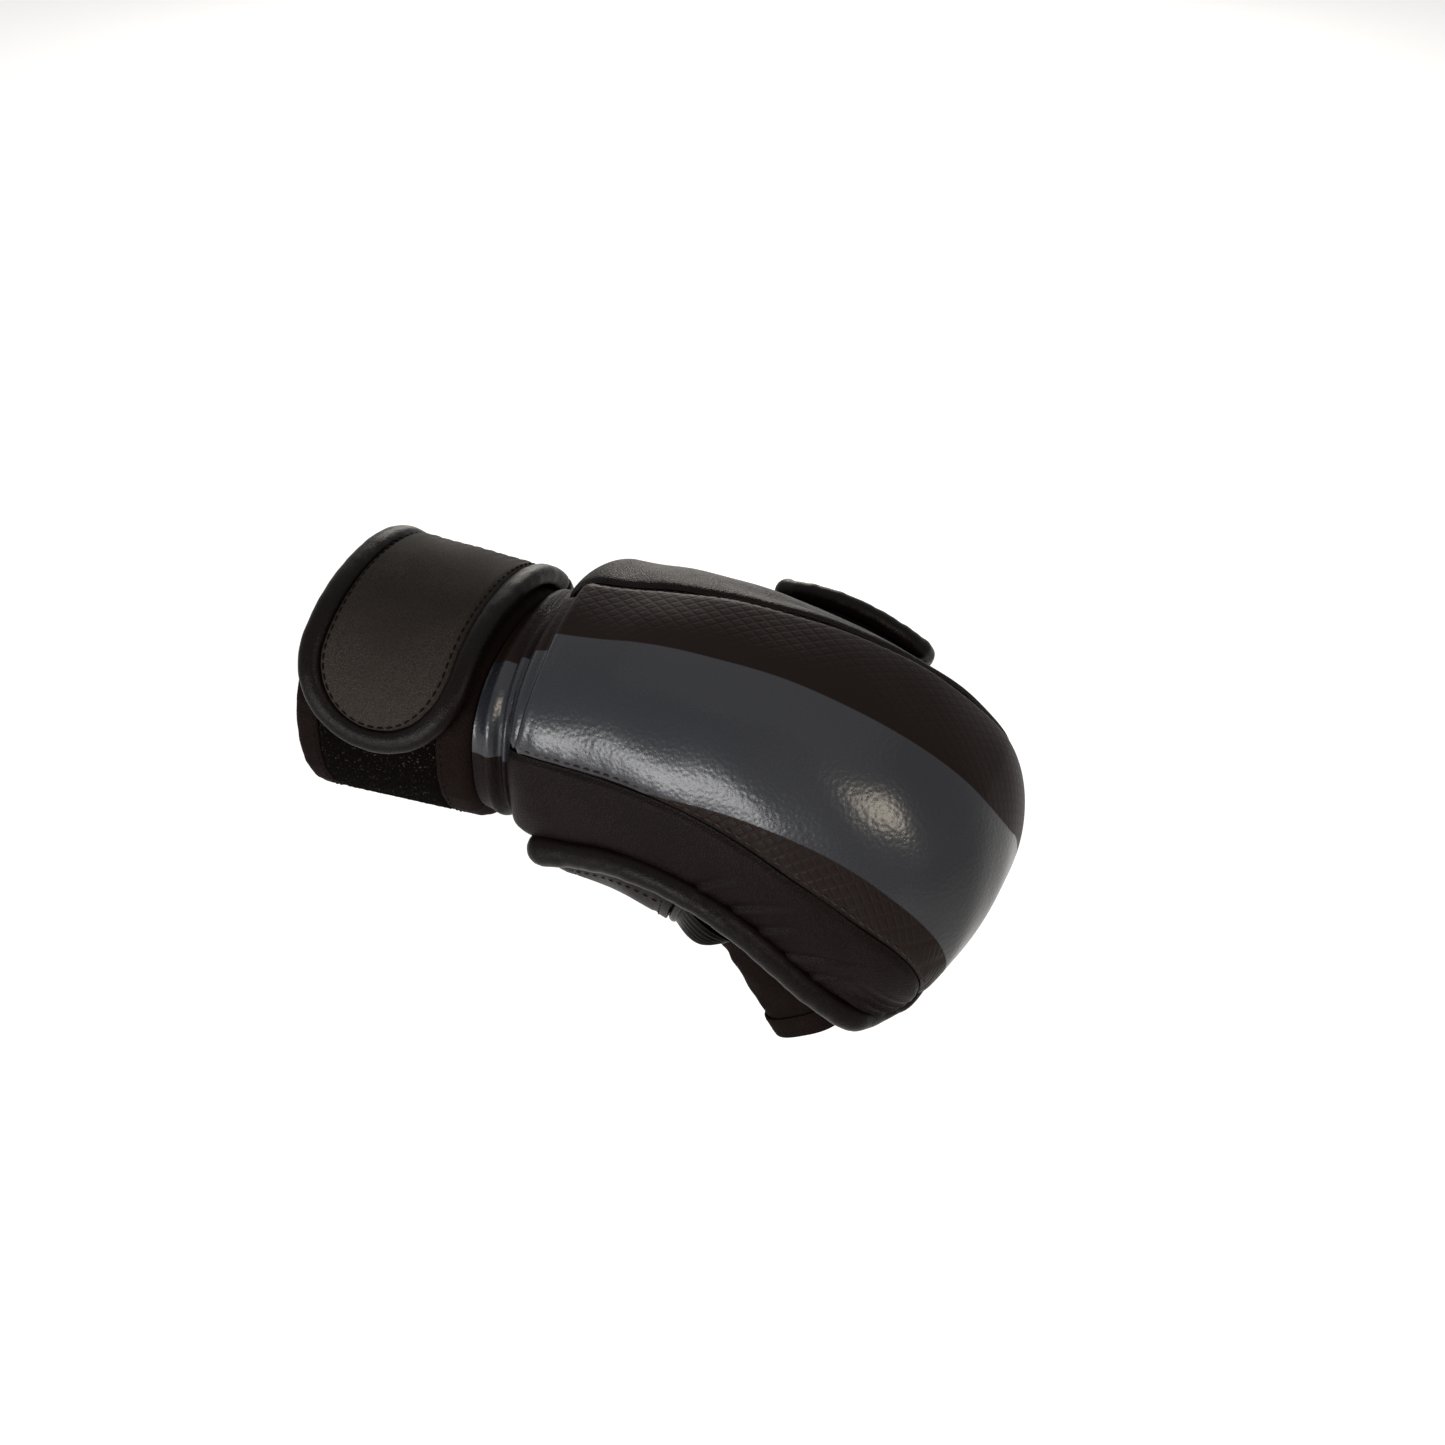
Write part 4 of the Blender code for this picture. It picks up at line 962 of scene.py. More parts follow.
def shoulder(station, angle):
    """How far the leather is pulled in below the thumb's seam, over the knuckles."""
    below = (thumb_seam(station) - angle) * KNUCKLE_HALF_WIDTH
    reach = ease((station - 105) / 45) * ease((PAD_END - station) / 40)
    return SHOULDER_DROP * reach * ease(below / 14) * ease(angle / np.radians(30))


def pad_surface(station, angle):
    across, up = section(
        angle, pad_half_width(station), pad_top(station), LOWER_DEPTH, PAD_POWER, PAD_POWER
    )
    slim = 1 - shoulder(station, angle) / np.hypot(across, up)
    return place(station, hand_centre(station) + across * slim, up * slim)


def cavity_surface(station, angle):
    """The space for the hand: oval at the wrist, squarer under the fingers."""
    half_width = pad_half_width(station) - SIDE_WALL
    power = PAD_POWER + (4 - PAD_POWER) * past_knuckles(station)
    across, up = section(angle, half_width, cavity_top(station), LOWER_DEPTH, power, PAD_POWER)
    return place(station, hand_centre(station) + across, up)


def even_stations(first, last, count):
    """Stations spaced evenly along the pad's crown, so that they gather where it turns down."""
    fine = np.linspace(first, last, 4000)
    travelled = run_of(np.stack([fine, pad_top(fine)], axis=-1))
    return np.interp(np.linspace(0, travelled[-1], count), travelled, fine)


def patch(surface, stations, first_angle, last_angle, count):
    """A grid on a surface between two angles that vary along it, with the stations and angles used."""
    share = np.linspace(0, 1, count)
    angle = first_angle[:, None] * (1 - share) + last_angle[:, None] * share
    station = stations[:, None] + 0 * angle
    return surface(station, angle), station, angle


pad_stations = even_stations(PAD_START, PAD_END, 210)
lower_edge = edge_angle(pad_stations)
half_seam = SEAM_GAP / 2 / KNUCKLE_HALF_WIDTH
print("pad", round(PAD_END - PAD_START), "mm long")

# %% [markdown]
# The band's two edges were read along the pad as section angles, and each point's distance to them
# becomes the "band" attribute. The leather is a little gathered along the little finger's seam, and
# behind a seam at the rear it lies slack and steps down to the neck.

# %% Back cover of the pad
REAR_DROP = 3.2
REAR_SEAM_AT = PAD_START + 7.0
REAR_SEAM_BOW = 2.5
BAND_TOP, BAND_TOP_SLOPE, BAND_TOP_TURN = 112.5, 14, 26
BAND_FOOT, BAND_FOOT_SLOPE = 155.5, 43
BAND_STEP = np.radians(3.5)


def rear_seam(angle):
    """The seam behind which the back cover is slack: it lies furthest forward at the band's middle."""
    turn = np.clip((np.degrees(angle) - 84) / 80, 0, 1)
    return REAR_SEAM_AT + REAR_SEAM_BOW * (np.sin(np.pi * turn) - turn)


def rear_drop(station, angle):
    """How far the slack leather lies below the pad: it steps down behind the seam and ends at the neck."""
    return REAR_DROP * ease((rear_seam(angle) - station) / 2.2) * ease((station - PAD_START) / 4)


def band_inside(station, angle, grid):
    """Millimetres inside the printed band, from the angles of its edges at each station."""
    t = (station - PAD_START) / PAD_LENGTH
    upper = np.radians(BAND_TOP - BAND_TOP_SLOPE * t - BAND_TOP_TURN * np.clip(t, 0, 1) ** 6)
    upper = upper + np.where(station < rear_seam(angle), BAND_STEP, 0.0)
    lower = np.radians(BAND_FOOT - BAND_FOOT_SLOPE * (t - 0.5))
    per_angle = np.gradient(distances(grid)[1], axis=1) / np.gradient(angle, axis=1)
    return np.minimum(angle - upper, lower - angle) * per_angle


def printed(station, angle, grid, scales_from=0.0):
    """Attributes of a wall in the back leather, the same for both of its faces."""
    inside = band_inside(station, angle, grid).ravel()
    return {"hide": hide_of(grid) - np.array([0, scales_from, 0]), "band": np.tile(inside, 2)}


first, last = thumb_seam(pad_stations) + half_seam, little_seam(pad_stations) - half_seam
top_grid, station, angle = patch(pad_surface, pad_stations, first, last, 130)
along, around = distances(top_grid)
from_thumb, from_little = around, around[:, -1:] - around
from_rear_seam = station - rear_seam(angle)
relief = dent(from_thumb, *SEAM_TUCK) + dent(from_little, *SEAM_TUCK)
relief = relief + dent(from_rear_seam + 0.8, 1.0, 1.0) - dent(from_rear_seam - 1.8, 1.6, 0.5)
relief = relief + ripples(along, around, [(0.16, 57.0, 71.0, 0.4), (0.10, -33.0, 41.0, 1.7)])
gathers = ripples(along, 0 * around, [(0.10, 9.0, 1.0, 0.0), (0.05, 5.7, 1.0, 1.0)])
relief = relief + gathers * bell(from_little, 4.0)
drop = rear_drop(station, angle)
cover = wall(raised(top_grid, relief - drop), raised(top_grid, -LEATHER - drop))
prints = printed(station, angle, top_grid)
piece("pad_back_cover", cover, back_leather, "hand", ["pad_top_cover"], prints)

# %% [markdown]
# The gussets are pulled round the pad's sides. Near the rolled edge the leather is gathered into a
# few short puckers, and at the front corner it is pleated. Each pucker is a curved valley with a
# bell-shaped section, placed by its distance along and its lean.

# %% Side gussets
PUCKER_BOW = 0.012
VALLEY_WIDTH = 1.3
RIDGE_WIDTH = 1.8
LITTLE_PUCKERS = [(150, 0.55, 13, 0.8), (163, 0.6, 16, 0.9), (174, 0.5, 12, 0.8)]
LITTLE_PUCKERS += [(186, 0.65, 15, 0.9), (197, 0.5, 11, 0.8)]
THUMB_PUCKERS = [(118, 0.5, 12, 0.7), (151, 0.5, 13, 0.8), (190, 0.5, 12, 0.8)]
PLEAT_DEPTH = 1.8
PLEAT_PITCH = 4.0
PLEAT_REACH = 12.0


def puckered(station, from_edge, puckers):
    """A sum of valleys: each bends with the distance from the edge and fades after its reach."""
    total = 0
    for at, lean, reach, depth in puckers:
        line = station - at - lean * from_edge - PUCKER_BOW * lean * from_edge**2
        ridge = dent(line - 2 * VALLEY_WIDTH, RIDGE_WIDTH, 0.6 * depth)
        total = total + np.exp(-((from_edge / reach) ** 4)) * (dent(line, VALLEY_WIDTH, depth) - ridge)
    return total


little_first, thumb_last = little_seam(pad_stations) + half_seam, thumb_seam(pad_stations) - half_seam
for name, first, last, columns, puckers, node in (
    ("pad_little_side", little_first, np.pi + lower_edge, 70, LITTLE_PUCKERS, "pad_little_gusset"),
    ("pad_thumb_side", -lower_edge, thumb_last, 100, THUMB_PUCKERS, "pad_thumb_gusset"),
):
    grid, station, angle = patch(pad_surface, pad_stations, first, last, columns)
    along, around = distances(grid)
    to_end = around[:, -1:] - around
    from_seam, from_edge = (around, to_end) if "little" in name else (to_end, around)
    relief = dent(from_seam, *SEAM_TUCK) + dent(from_edge, 2.0, 0.8) + puckered(station, from_edge, puckers)
    near_front = ease((station - PAD_END + 26) / 18) * np.exp(-((from_edge / PLEAT_REACH) ** 4))
    pleats = np.abs(np.sin(np.pi * from_edge / PLEAT_PITCH + 0.05 * station))
    relief = relief - PLEAT_DEPTH * near_front * pleats
    relief = relief + ripples(along, around, [(0.14, 47.0, 39.0, 0.9), (0.10, -29.0, 23.0, 0.2)])
    shape = wall(raised(grid, relief), grid - outward(grid) * LEATHER)
    piece(name, shape, side_leather, "hand", [node])

# %% [markdown]
# Under the leather is the foam, which shows only as a thin edge between leather and lining, and the
# lining that meets the hand. One padded core stands for both foam layers.

# %% Pad core and lining
FOAM_EASE = 0.9
CORE_INSET = 0.8
CORE_EASE = 0.2
core_stations = even_stations(PAD_START + CORE_INSET, PAD_END - CORE_INSET, 120)
core_edge = edge_angle(core_stations) - 0.004
outer, station, angle = patch(pad_surface, core_stations, -core_edge, np.pi + core_edge, 110)
inner, _, _ = patch(cavity_surface, core_stations, -core_edge, np.pi + core_edge, 110)
under_back = (angle > thumb_seam(station)) * (angle < little_seam(station))
sunk = LEATHER + CORE_EASE + rear_drop(station, angle) * under_back
core = wall(raised(outer, -sunk), inner + outward(inner) * (LINING + CORE_EASE))
foams, weave = ["pad_outer_foam", "pad_inner_foam"], {"hide": hide_of(outer)}
pad_core = piece("pad_core", core, edge_cloth, "hand", foams, weave)
inner, _, _ = patch(cavity_surface, pad_stations, -lower_edge, np.pi + lower_edge, 120)
lined("pad_inner_lining", inner + outward(inner) * LINING, inner, "hand", "pad_lining")

# %% [markdown]
# Fat rolled edges run along both lower sides and across the front. A curve with a bevel could make
# them, but the swept section here also swells and pinches a little along its run, as sewn rolls do.

# %% Rolled edges of the pad
PIPING_RADIUS = 3.4
PIPING_FULLNESS = {1: 0.0, -1: 1.5}
PIPING_BULGE = 1.2
FRONT_PIPING_RADIUS = 2.6
FRONT_PIPING_SUNK = 0.8
CORNER_PULL = 0.8
CORNER_POINTS = 26


def piping_line(stations, side):
    """Middle of the roll below the pad's wall, moved out by its bulge; side is 1 for the thumb."""
    angle = -edge_angle(stations)
    angle = angle if side > 0 else np.pi - angle
    outer, inner = pad_surface(stations, angle), cavity_surface(stations, angle)
    out = unit(outer - inner)
    down = unit(np.cross(out, np.gradient((outer + inner) / 2, axis=0)) * side)
    bulge = PIPING_BULGE + PIPING_FULLNESS[side]
    return (outer + inner) / 2 + out * bulge + down * (PIPING_RADIUS + 2 * GAP), out


def bridge(start, leaving, end, arriving, count):
    """A Hermite curve: it leaves the start and arrives at the end along these two vectors."""
    t = np.linspace(0, 1, count)[:, None]
    curve = start * (2 * t**3 - 3 * t**2 + 1) + end * (3 * t**2 - 2 * t**3)
    return curve + leaving * (t**3 - 2 * t**2 + t) + arriving * (t**3 - t**2)


angle = np.linspace(0, np.pi, 120)
lower = cavity_surface(PAD_END, angle)
front_line = lower + (pad_surface(PAD_END, angle) - lower) * 0.4
front_line = front_line + heading(PAD_END) * (FRONT_PIPING_RADIUS - FRONT_PIPING_SUNK)
front_roll = rolled(front_line, heading(PAD_END), FRONT_PIPING_RADIUS, FRONT_PIPING_RADIUS, 24)
piece("front_piping_roll", front_roll, edge_leather, "hand", ["front_piping"])
piping_stations = np.linspace(PAD_START + PIPING_SETBACK + 1.5, PAD_END - 3 * PIPING_RADIUS, 160)
for side, name in ((1, "thumb_piping"), (-1, "little_piping")):
    line, out = piping_line(piping_stations, side)
    end, beyond = (front_line[0], front_line[4]) if side > 0 else (front_line[-1], front_line[-5])
    span = np.linalg.norm(end - line[-1])
    leaving, arriving = (CORNER_PULL * span * unit(step) for step in (line[-1] - line[-2], beyond - end))
    corner = bridge(line[-1], leaving, end, arriving, CORNER_POINTS)
    line = np.concatenate([line, corner[1:]])
    out = np.concatenate([out, np.broadcast_to(out[-1], corner[1:].shape)])
    run = run_of(line)
    swelled = 1 + ripples(run, 0, [(0.020, 17.0, 1.0, 0.3), (0.012, 7.1, 1.0, 1.2)])
    blunt = 1 + 0.20 * bell(run, 10)
    to_corner = run - run[-CORNER_POINTS]
    thinner = ease(to_corner / to_corner[-1])
    size = (PIPING_RADIUS + PIPING_FULLNESS[side]) * (1 - thinner) + FRONT_PIPING_RADIUS * thinner
    size = size * swelled * blunt
    piece(f"{name}_roll", rolled(line, out, size, size, 24), edge_leather, "hand", [name])

# %% [markdown]
# Thread shows on both long seams: dark stitches beside the thumb's seam and lighter ones in the little
# finger's seam.

# %% Seam thread of the pad
seam_stations = even_stations(PAD_START + 5, PAD_END - 6, 400)
for name, seam, side, away, sunk, finish in (
    ("pad_thumb_seam_thread", thumb_seam(seam_stations), 1, 1.1, 0.75, dark_thread),
    ("pad_little_seam_thread", little_seam(seam_stations), -1, 2.0, 0.25, light_thread),
):
    angle = seam + side * away / KNUCKLE_HALF_WIDTH
    line = pad_surface(seam_stations, angle)
    above = line - place(seam_stations, hand_centre(seam_stations), 0.0)
    piece(name, stitched(line - sunk * unit(above), above, 3.6, 2.6, 0.36), finish, "hand")

# %% [markdown]
# ## Wrist neck
# Between cuff and pad, soft leather folds as the wrist bends, and the printed band runs on over it.
# The sleeve is one wall round the wrist with two fat folds.

# %% Neck sleeve
NECK_BOTTOM = 33.0
HEEL_LENGTH = 5.0
HEEL_HEIGHT = 18.5
HEEL_TAPE_HEIGHT = 20.7
HEEL_ROLL = 2.2
NECK_PRINT_PAST = 8.0
NECK_SCALES_FROM = 90.0
FOLDS = [(0.55, 0.12, 1.7), (0.30, 0.17, -1.2), (0.78, 0.13, -1.1)]
FOLD_LEAN = 0.14


def neck_surface(station, angle):
    """From the cuff's end to the pad's rim: both half-sizes ease from one to the other."""
    along = ease((station - NECK_START) / NECK_LENGTH)
    half_width = CUFF_HALF_WIDTH - CUFF_TAPER
    half_width = half_width + (REAR_HALF_WIDTH - half_width) * along
    top = CUFF_HALF_HEIGHT - CUFF_TAPER - MIDLINE_HEIGHT
    top = top + (WRIST_ROOM + END_WALL - top) * along
    across, up = section(angle, half_width, top, NECK_BOTTOM, PAD_POWER, PAD_POWER)
    return place(station, across, up)


neck_angle = full_turn(260)[None, :]
heel = angle_at(HEEL_HEIGHT / NECK_BOTTOM, PAD_POWER)
below = np.minimum(neck_angle - np.pi - heel, 2 * np.pi - heel - neck_angle)
reach = NECK_LENGTH + HEEL_LENGTH * ease(below / 0.16 + 0.5)
station = NECK_START + reach * np.linspace(0, 1, 46)[:, None]
neck_grid = neck_surface(station, neck_angle)
share = (station - NECK_START) / NECK_LENGTH
lean = FOLD_LEAN * np.sin(neck_angle - 1.9)
folds = sum(dent(share - at - lean, width, depth) for at, width, depth in FOLDS)
neck_waves = [(0.12, 71.0, 47.0, 0.0), (0.06, -37.0, 29.0, 0.6)]
folds = folds + ripples(np.degrees(neck_angle), 40 * share, neck_waves)
folds = folds * np.clip(np.minimum(share, reach / NECK_LENGTH - share) / 0.12, 0, 1)
neck_normal = outward(neck_grid, wrap=True)
neck_shape = wall(neck_grid + neck_normal * folds[..., None], neck_grid - neck_normal * LEATHER, wrap=True)
panels = [f"neck_{side}_panel" for side in ("back", "little", "palm", "thumb")]
prints = printed(station, neck_angle, neck_grid, NECK_SCALES_FROM)
neck_sleeve = piece("neck_sleeve", neck_shape, side_leather, None, panels, prints)
neck_sleeve.data.materials.append(back_leather)
face_angle = np.resize(neck_angle, len(neck_sleeve.data.polygons))
print_end = little_seam(np.array(PAD_START)) + np.radians(NECK_PRINT_PAST)
on_back = (face_angle > thumb_seam(PAD_START)) & (face_angle < print_end)
neck_sleeve.data.polygons.foreach_set("material_index", on_back.astype(np.int32))
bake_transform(neck_sleeve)
tape_edge = angle_at(HEEL_TAPE_HEIGHT / NECK_BOTTOM, PAD_POWER)
angle = np.linspace(np.pi + tape_edge, 2 * np.pi - tape_edge, 80)
heel_line = neck_surface(NECK_START + NECK_LENGTH + HEEL_LENGTH + HEEL_ROLL + GAP, angle)
heel_roll = rolled(heel_line, [1.0, 0, 0], HEEL_ROLL, HEEL_ROLL, 18)
piece("heel_rolled_edge", heel_roll, edge_leather, "hand", ["heel_binding"])

# %% [markdown]
# ## Palm strap
# The palm is open but for one broad strap, with a woven inside, a leather face and a rolled edge at
# the front and the back. It is a patch of a section that is a little wider than the hand's space.

# %% Palm strap
PALM_FROM = 97.0
PALM_WIDTH = 50.0
PALM_DEPTH = 44.0
PALM_LEATHER = 2.0
PALM_LINING = 2.0
PALM_TAPE_RADIUS = 1.8
PALM_SEAM_INSET = 4.0


def palm_surface(station, angle, height):
    """The palm strap's face, this far out from the hand."""
    half_width = pad_half_width(station) - SIDE_WALL / 2 + height
    across, up = section(angle, half_width, PALM_DEPTH, PALM_DEPTH + height, PAD_POWER, PAD_POWER)
    return place(station, hand_centre(station) + across, up)


def palm_edge_angle(station):
    """Where the palm strap ends, just under the rolled edge of the pad."""
    drop = LOWER_DEPTH * np.sin(edge_angle(station)) ** (2 / PAD_POWER)
    return angle_at((drop + 2 * PIPING_RADIUS + 3 * GAP) / PALM_DEPTH, PAD_POWER)


palm_stations = np.linspace(PALM_FROM, PALM_FROM + PALM_WIDTH, 60)
end = palm_edge_angle(palm_stations)
leather_face = PALM_LINING + GAP + PALM_LEATHER
middle_face, station, angle = patch(
    lambda *spot: palm_surface(*spot, leather_face / 2), palm_stations, np.pi + end, 2 * np.pi - end, 130
)
outer = palm_surface(station, angle, leather_face)
along, around = distances(outer)
relief = ripples(along, around, [(0.18, 39.0, 31.0, 0.0), (0.12, -21.0, 27.0, 1.0)])
relief = relief + dent(np.minimum(along, along[-1:] - along) - PALM_SEAM_INSET, 0.9, GROOVE_DEPTH)
outer = raised(outer, relief)
palm_wall = wall(outer, palm_surface(station, angle, PALM_LINING + GAP))
piece("palm_strap_leather", palm_wall, side_leather, "hand", ["palm_strap"])
faces = [palm_surface(station, angle, height) for height in (PALM_LINING, 0.0)]
lined("palm_strap_weave", *faces, "hand", "palm_strap_lining")
normals, threads = outward(outer), []
for name, row, side in (("palm_strap_rear_binding", 0, -1), ("palm_strap_front_binding", -1, 1)):
    line = middle_face[row, 2:-2] + side * heading(palm_stations[row]) * (PALM_TAPE_RADIUS + GAP)
    tape = rolled(line, normals[row, 2:-2], PALM_TAPE_RADIUS, PALM_TAPE_RADIUS + 0.2, 20)
    piece(f"{name}_roll", tape, edge_leather, "hand", [name])
    seam_row = row - side * 5
    threads.append(stitched(outer[seam_row] - 0.05 * normals[seam_row], normals[seam_row]))
for column in (6, -7):
    threads.append(stitched(outer[6:-6, column], normals[6:-6, column]))
piece("palm_strap_thread", joined(*threads), dark_thread, "hand")

# %% [markdown]
# ## Finger stalls
# Four short leather tubes hang from a strip under the knuckles, each with a hemmed end and a rolled
# mouth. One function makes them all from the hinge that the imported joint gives. The tube's wall is
# creased where the finger bends it.

# %% Finger stalls
ANCHOR_WIDTH = 14.0
ANCHOR_THICKNESS = 2.0
STALL_HALF_WIDTH = 9.5
STALL_HALF_DEPTH = 13.5
STALL_POWER = 2.8
STALL_LEATHER = 1.4
STALL_TAPE = 0.9
STALL_OVERHANG = GAP + STALL_TAPE
BAND_FLOOR = GAP - 0.1
BAND_POWER = 5.0
CREASES_AT = (20.0, 28.0)
CREASE_SWAY = 3.0
STALL_PITCH = 22.2
STALL_DROP = np.radians(58.0)
HEM_WIDTH = 8.0
MOUTH_WIDTH = 5.0
STALL_LENGTHS = {"little": 62.0, "ring": 65.0, "middle": 66.0, "index": 63.0}
stall_forward = np.array([np.cos(STALL_DROP), 0, -np.sin(STALL_DROP)])
stall_upward = np.array([np.sin(STALL_DROP), 0, np.cos(STALL_DROP)])


def stall_point(hinge, distance, angle, height):
    """A point at a distance down the stall, round it and above its wall."""
    distance, angle, height = np.broadcast_arrays(distance, angle, height)
    half_depth = STALL_HALF_DEPTH + height
    across, up = section(
        angle, STALL_HALF_WIDTH + height, half_depth, half_depth, STALL_POWER, STALL_POWER
    )
    up = up - STALL_HALF_DEPTH - STALL_OVERHANG
    points = hinge + distance[..., None] * stall_forward + up[..., None] * stall_upward
    points[..., 1] += across
    return points


def stall_band(hinge, first, last):
    """A flat ring round the stall: a squarish rounded section, carried all the way round."""
    half = STALL_TAPE / 2
    run, rise = section(full_turn(28)[None, :], (last - first) / 2, half, half, BAND_POWER, BAND_POWER)
    angle = full_turn(110)[:, None]
    return closed_rings(stall_point(hinge, (first + last) / 2 + run, angle, BAND_FLOOR + half + rise))


for number, (finger, length) in enumerate(STALL_LENGTHS.items()):
    hinge, body = hinges[f"{finger}_flex"], f"{finger}_stall_body"
    distance = np.linspace(0, length, 70)[:, None]
    angle = full_turn(110)[None, :]
    turn = np.degrees(angle)
    inside_ends = np.clip(np.minimum(distance - MOUTH_WIDTH, length - HEM_WIDTH - distance) / 5, 0, 1)
    upper = distance - CREASES_AT[0] - CREASE_SWAY * np.sin(angle + number)
    lower = distance - CREASES_AT[1] - CREASE_SWAY * np.cos(angle - number)
    bends = dent(upper, 2.2, 0.7) * (np.sin(angle) < 0.3) + dent(lower, 2.4, 0.6)
    bends = bends + ripples(distance, turn, [(0.16, 19.0, 60.0, number), (0.10, -11.0, 40.0, 0.5)])
    heights = (bends * inside_ends, -STALL_LEATHER)
    tube = wall(*(stall_point(hinge, distance, angle, height) for height in heights), wrap=True)
    piece(f"{finger}_tube", tube, soft_leather, body, [f"{finger}_stall"])
    hem = stall_band(hinge, length - HEM_WIDTH, length)
    piece(f"{finger}_hem_band", hem, soft_leather, body, [f"{finger}_hem"])
    mouth = stall_band(hinge, 0, MOUTH_WIDTH)
    piece(f"{finger}_mouth_band", mouth, edge_leather, body, [f"{finger}_mouth_binding"])
    threads = []
    for at in (length - HEM_WIDTH + STITCH_INSET, length - 2.0):
        line, up = line_with_up(stall_point, hinge, at, full_turn(240), GAP + STALL_TAPE - 0.2)
        threads.append(stitched(line, up, 2.6, 1.9, 0.28, closed=True))
    piece(f"{finger}_thread", joined(*threads), dark_thread, body)

anchor_stations = np.linspace(ANCHOR_AT - MOUTH_WIDTH, ANCHOR_AT - MOUTH_WIDTH + ANCHOR_WIDTH, 20)
share = np.clip(2 * STALL_PITCH / (pad_half_width(anchor_stations) - SIDE_WALL), 0, 0.99)
first = np.arccos(share**2)
grid, _, _ = patch(cavity_surface, anchor_stations, first, np.pi - first, 120)
strip = wall(grid - outward(grid) * FOAM_EASE, grid - outward(grid) * (FOAM_EASE + ANCHOR_THICKNESS))
piece("finger_strip", strip, side_leather, "hand", ["finger_anchor_strip"])

# %% [markdown]
# Soft leather joins the palm strap's front edge to the little finger's stall, gathered along the stall.
# It crosses that finger's joint.

# %% Little finger's web
LITTLE_WEB_AT = 20.0
LITTLE_WEB_SLACK = 3.8
LITTLE_WEB_HALF = 0.5
LITTLE_WEB_OUT = 2.8
LITTLE_WEB_LEAN = 3.0
LITTLE_WEB_SAG = np.array([0, -0.5, -0.85])
GATHERS = 13
GATHER_RISE = 2.8
share = np.linspace(0, 1, 120)
front = palm_stations[-1]
angle = np.pi + palm_edge_angle(front) + np.radians(2 + 40 * share)
hand_edge = palm_surface(front + LITTLE_WEB_OUT, angle, leather_face / 2)
turn = np.radians(195 + 85 * share)
run = LITTLE_WEB_AT + LITTLE_WEB_LEAN * share
stall_edge = stall_point(hinges["little_flex"], run, turn, GAP / 2)
grid, across = between(hand_edge, stall_edge)
belly = np.sin(np.pi * across) * np.sin(np.pi * np.clip(0.15 + 0.85 * share, 0, 1))[:, None, None]
grid = grid + LITTLE_WEB_SLACK * belly * unit(LITTLE_WEB_SAG)
gathered = GATHER_RISE * np.sin(2 * np.pi * GATHERS * share)[:, None, None] * across**2 * (1 - across)
shape = wall(*(grid + outward(grid) * (gathered + side) for side in (LITTLE_WEB_HALF, -LITTLE_WEB_HALF)))
little_web = piece("little_soft_web", shape, edge_leather, None)
tuple(stall_edge.mean(0) * MM)
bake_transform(little_web)

# %% [markdown]
# ## Thumb
# The thumb has a tube of its own, with a padded shield outside it and a fat roll all round the shield.
# The shield is a crowned cushion: it is fullest in the middle and tucks in under the roll.

# %% Thumb tube, shield and roll
THUMB_RADIUS = 12.0
THUMB_LEATHER = 1.4
THUMB_BASE = np.array([98.0, 66.8, -17.0])
THUMB_ARCH = np.array([138.0, 66.8, 21.0])
THUMB_TIP = np.array([178.0, 71.8, -17.0])
THUMB_FOAM = 4.5
THUMB_SKIN = 1.2
THUMB_PAD_FROM = 0.34
THUMB_PAD_LOW = np.radians(-78.0)
THUMB_PAD_HIGH = np.radians(46.0)
THUMB_ROLL = 3.4
THUMB_HEM_WIDTH = 7.0
SHIELD_PUFF = 0.5
SHIELD_TUCK, SHIELD_TUCK_WIDTH = 2.6, 2.2
KNOT_AT, KNOT_WIDTH, KNOT_SWELL = np.pi - 0.6, 0.14, 0.40


def thumb_frame(share):
    """A quadratic arch through base and tip, with the directions outward and up at each point."""
    share = np.asarray(share, float)[..., None]
    point = THUMB_BASE * (1 - share) ** 2 + THUMB_ARCH * 2 * share * (1 - share) + THUMB_TIP * share**2
    forward = unit((THUMB_ARCH - THUMB_BASE) * (1 - share) + (THUMB_TIP - THUMB_ARCH) * share)
    upward = unit(np.cross(forward, [0, 1, 0]))
    return point, np.cross(upward, forward), upward


def thumb_surface(share, angle, height):
    """A point round the arch at this height above the tube; angle 0 faces away from the hand."""
    share, angle, height = np.broadcast_arrays(share, angle, height)
    point, out, upward = thumb_frame(share)
    radius = (THUMB_RADIUS + height)[..., None]
    return point + radius * (np.cos(angle)[..., None] * out + np.sin(angle)[..., None] * upward)


thumb_length = run_of(thumb_frame(np.linspace(0, 1, 200))[0])[-1]
around = full_turn(90)[None, :]
share = np.linspace(0, 1, 90)[:, None]
thumb_waves = [(0.14, 17.0, 50.0, 0.0), (0.10, -9.0, 36.0, 0.8)]
creases = ripples(share * thumb_length, np.degrees(around), thumb_waves)
ends = np.clip(np.minimum(share, 1 - share) / 0.05, 0, 1)
heights = (np.minimum(creases * ends, 0.2), -THUMB_LEATHER)
tube = wall(*(thumb_surface(share, around, height) for height in heights), wrap=True)
piece("thumb_tube", tube, side_leather, "thumb", ["thumb_stall"])
hem_share = np.linspace(1 - THUMB_HEM_WIDTH / thumb_length, 1, 14)[:, None]
heights = (-THUMB_LEATHER - 2 * GAP, -THUMB_LEATHER - 2 * GAP - TAPE)
hem = wall(*(thumb_surface(hem_share, around, height) for height in heights), wrap=True)
piece("thumb_hem_band", hem, edge_leather, "thumb", ["thumb_hem"])
rim = 2.4 * THUMB_ROLL / thumb_length
share = np.linspace(THUMB_PAD_FROM + rim - 0.01, 1 - rim + 0.01, 90)[:, None]
angle = np.linspace(THUMB_PAD_LOW, THUMB_PAD_HIGH, 70)[None, :]
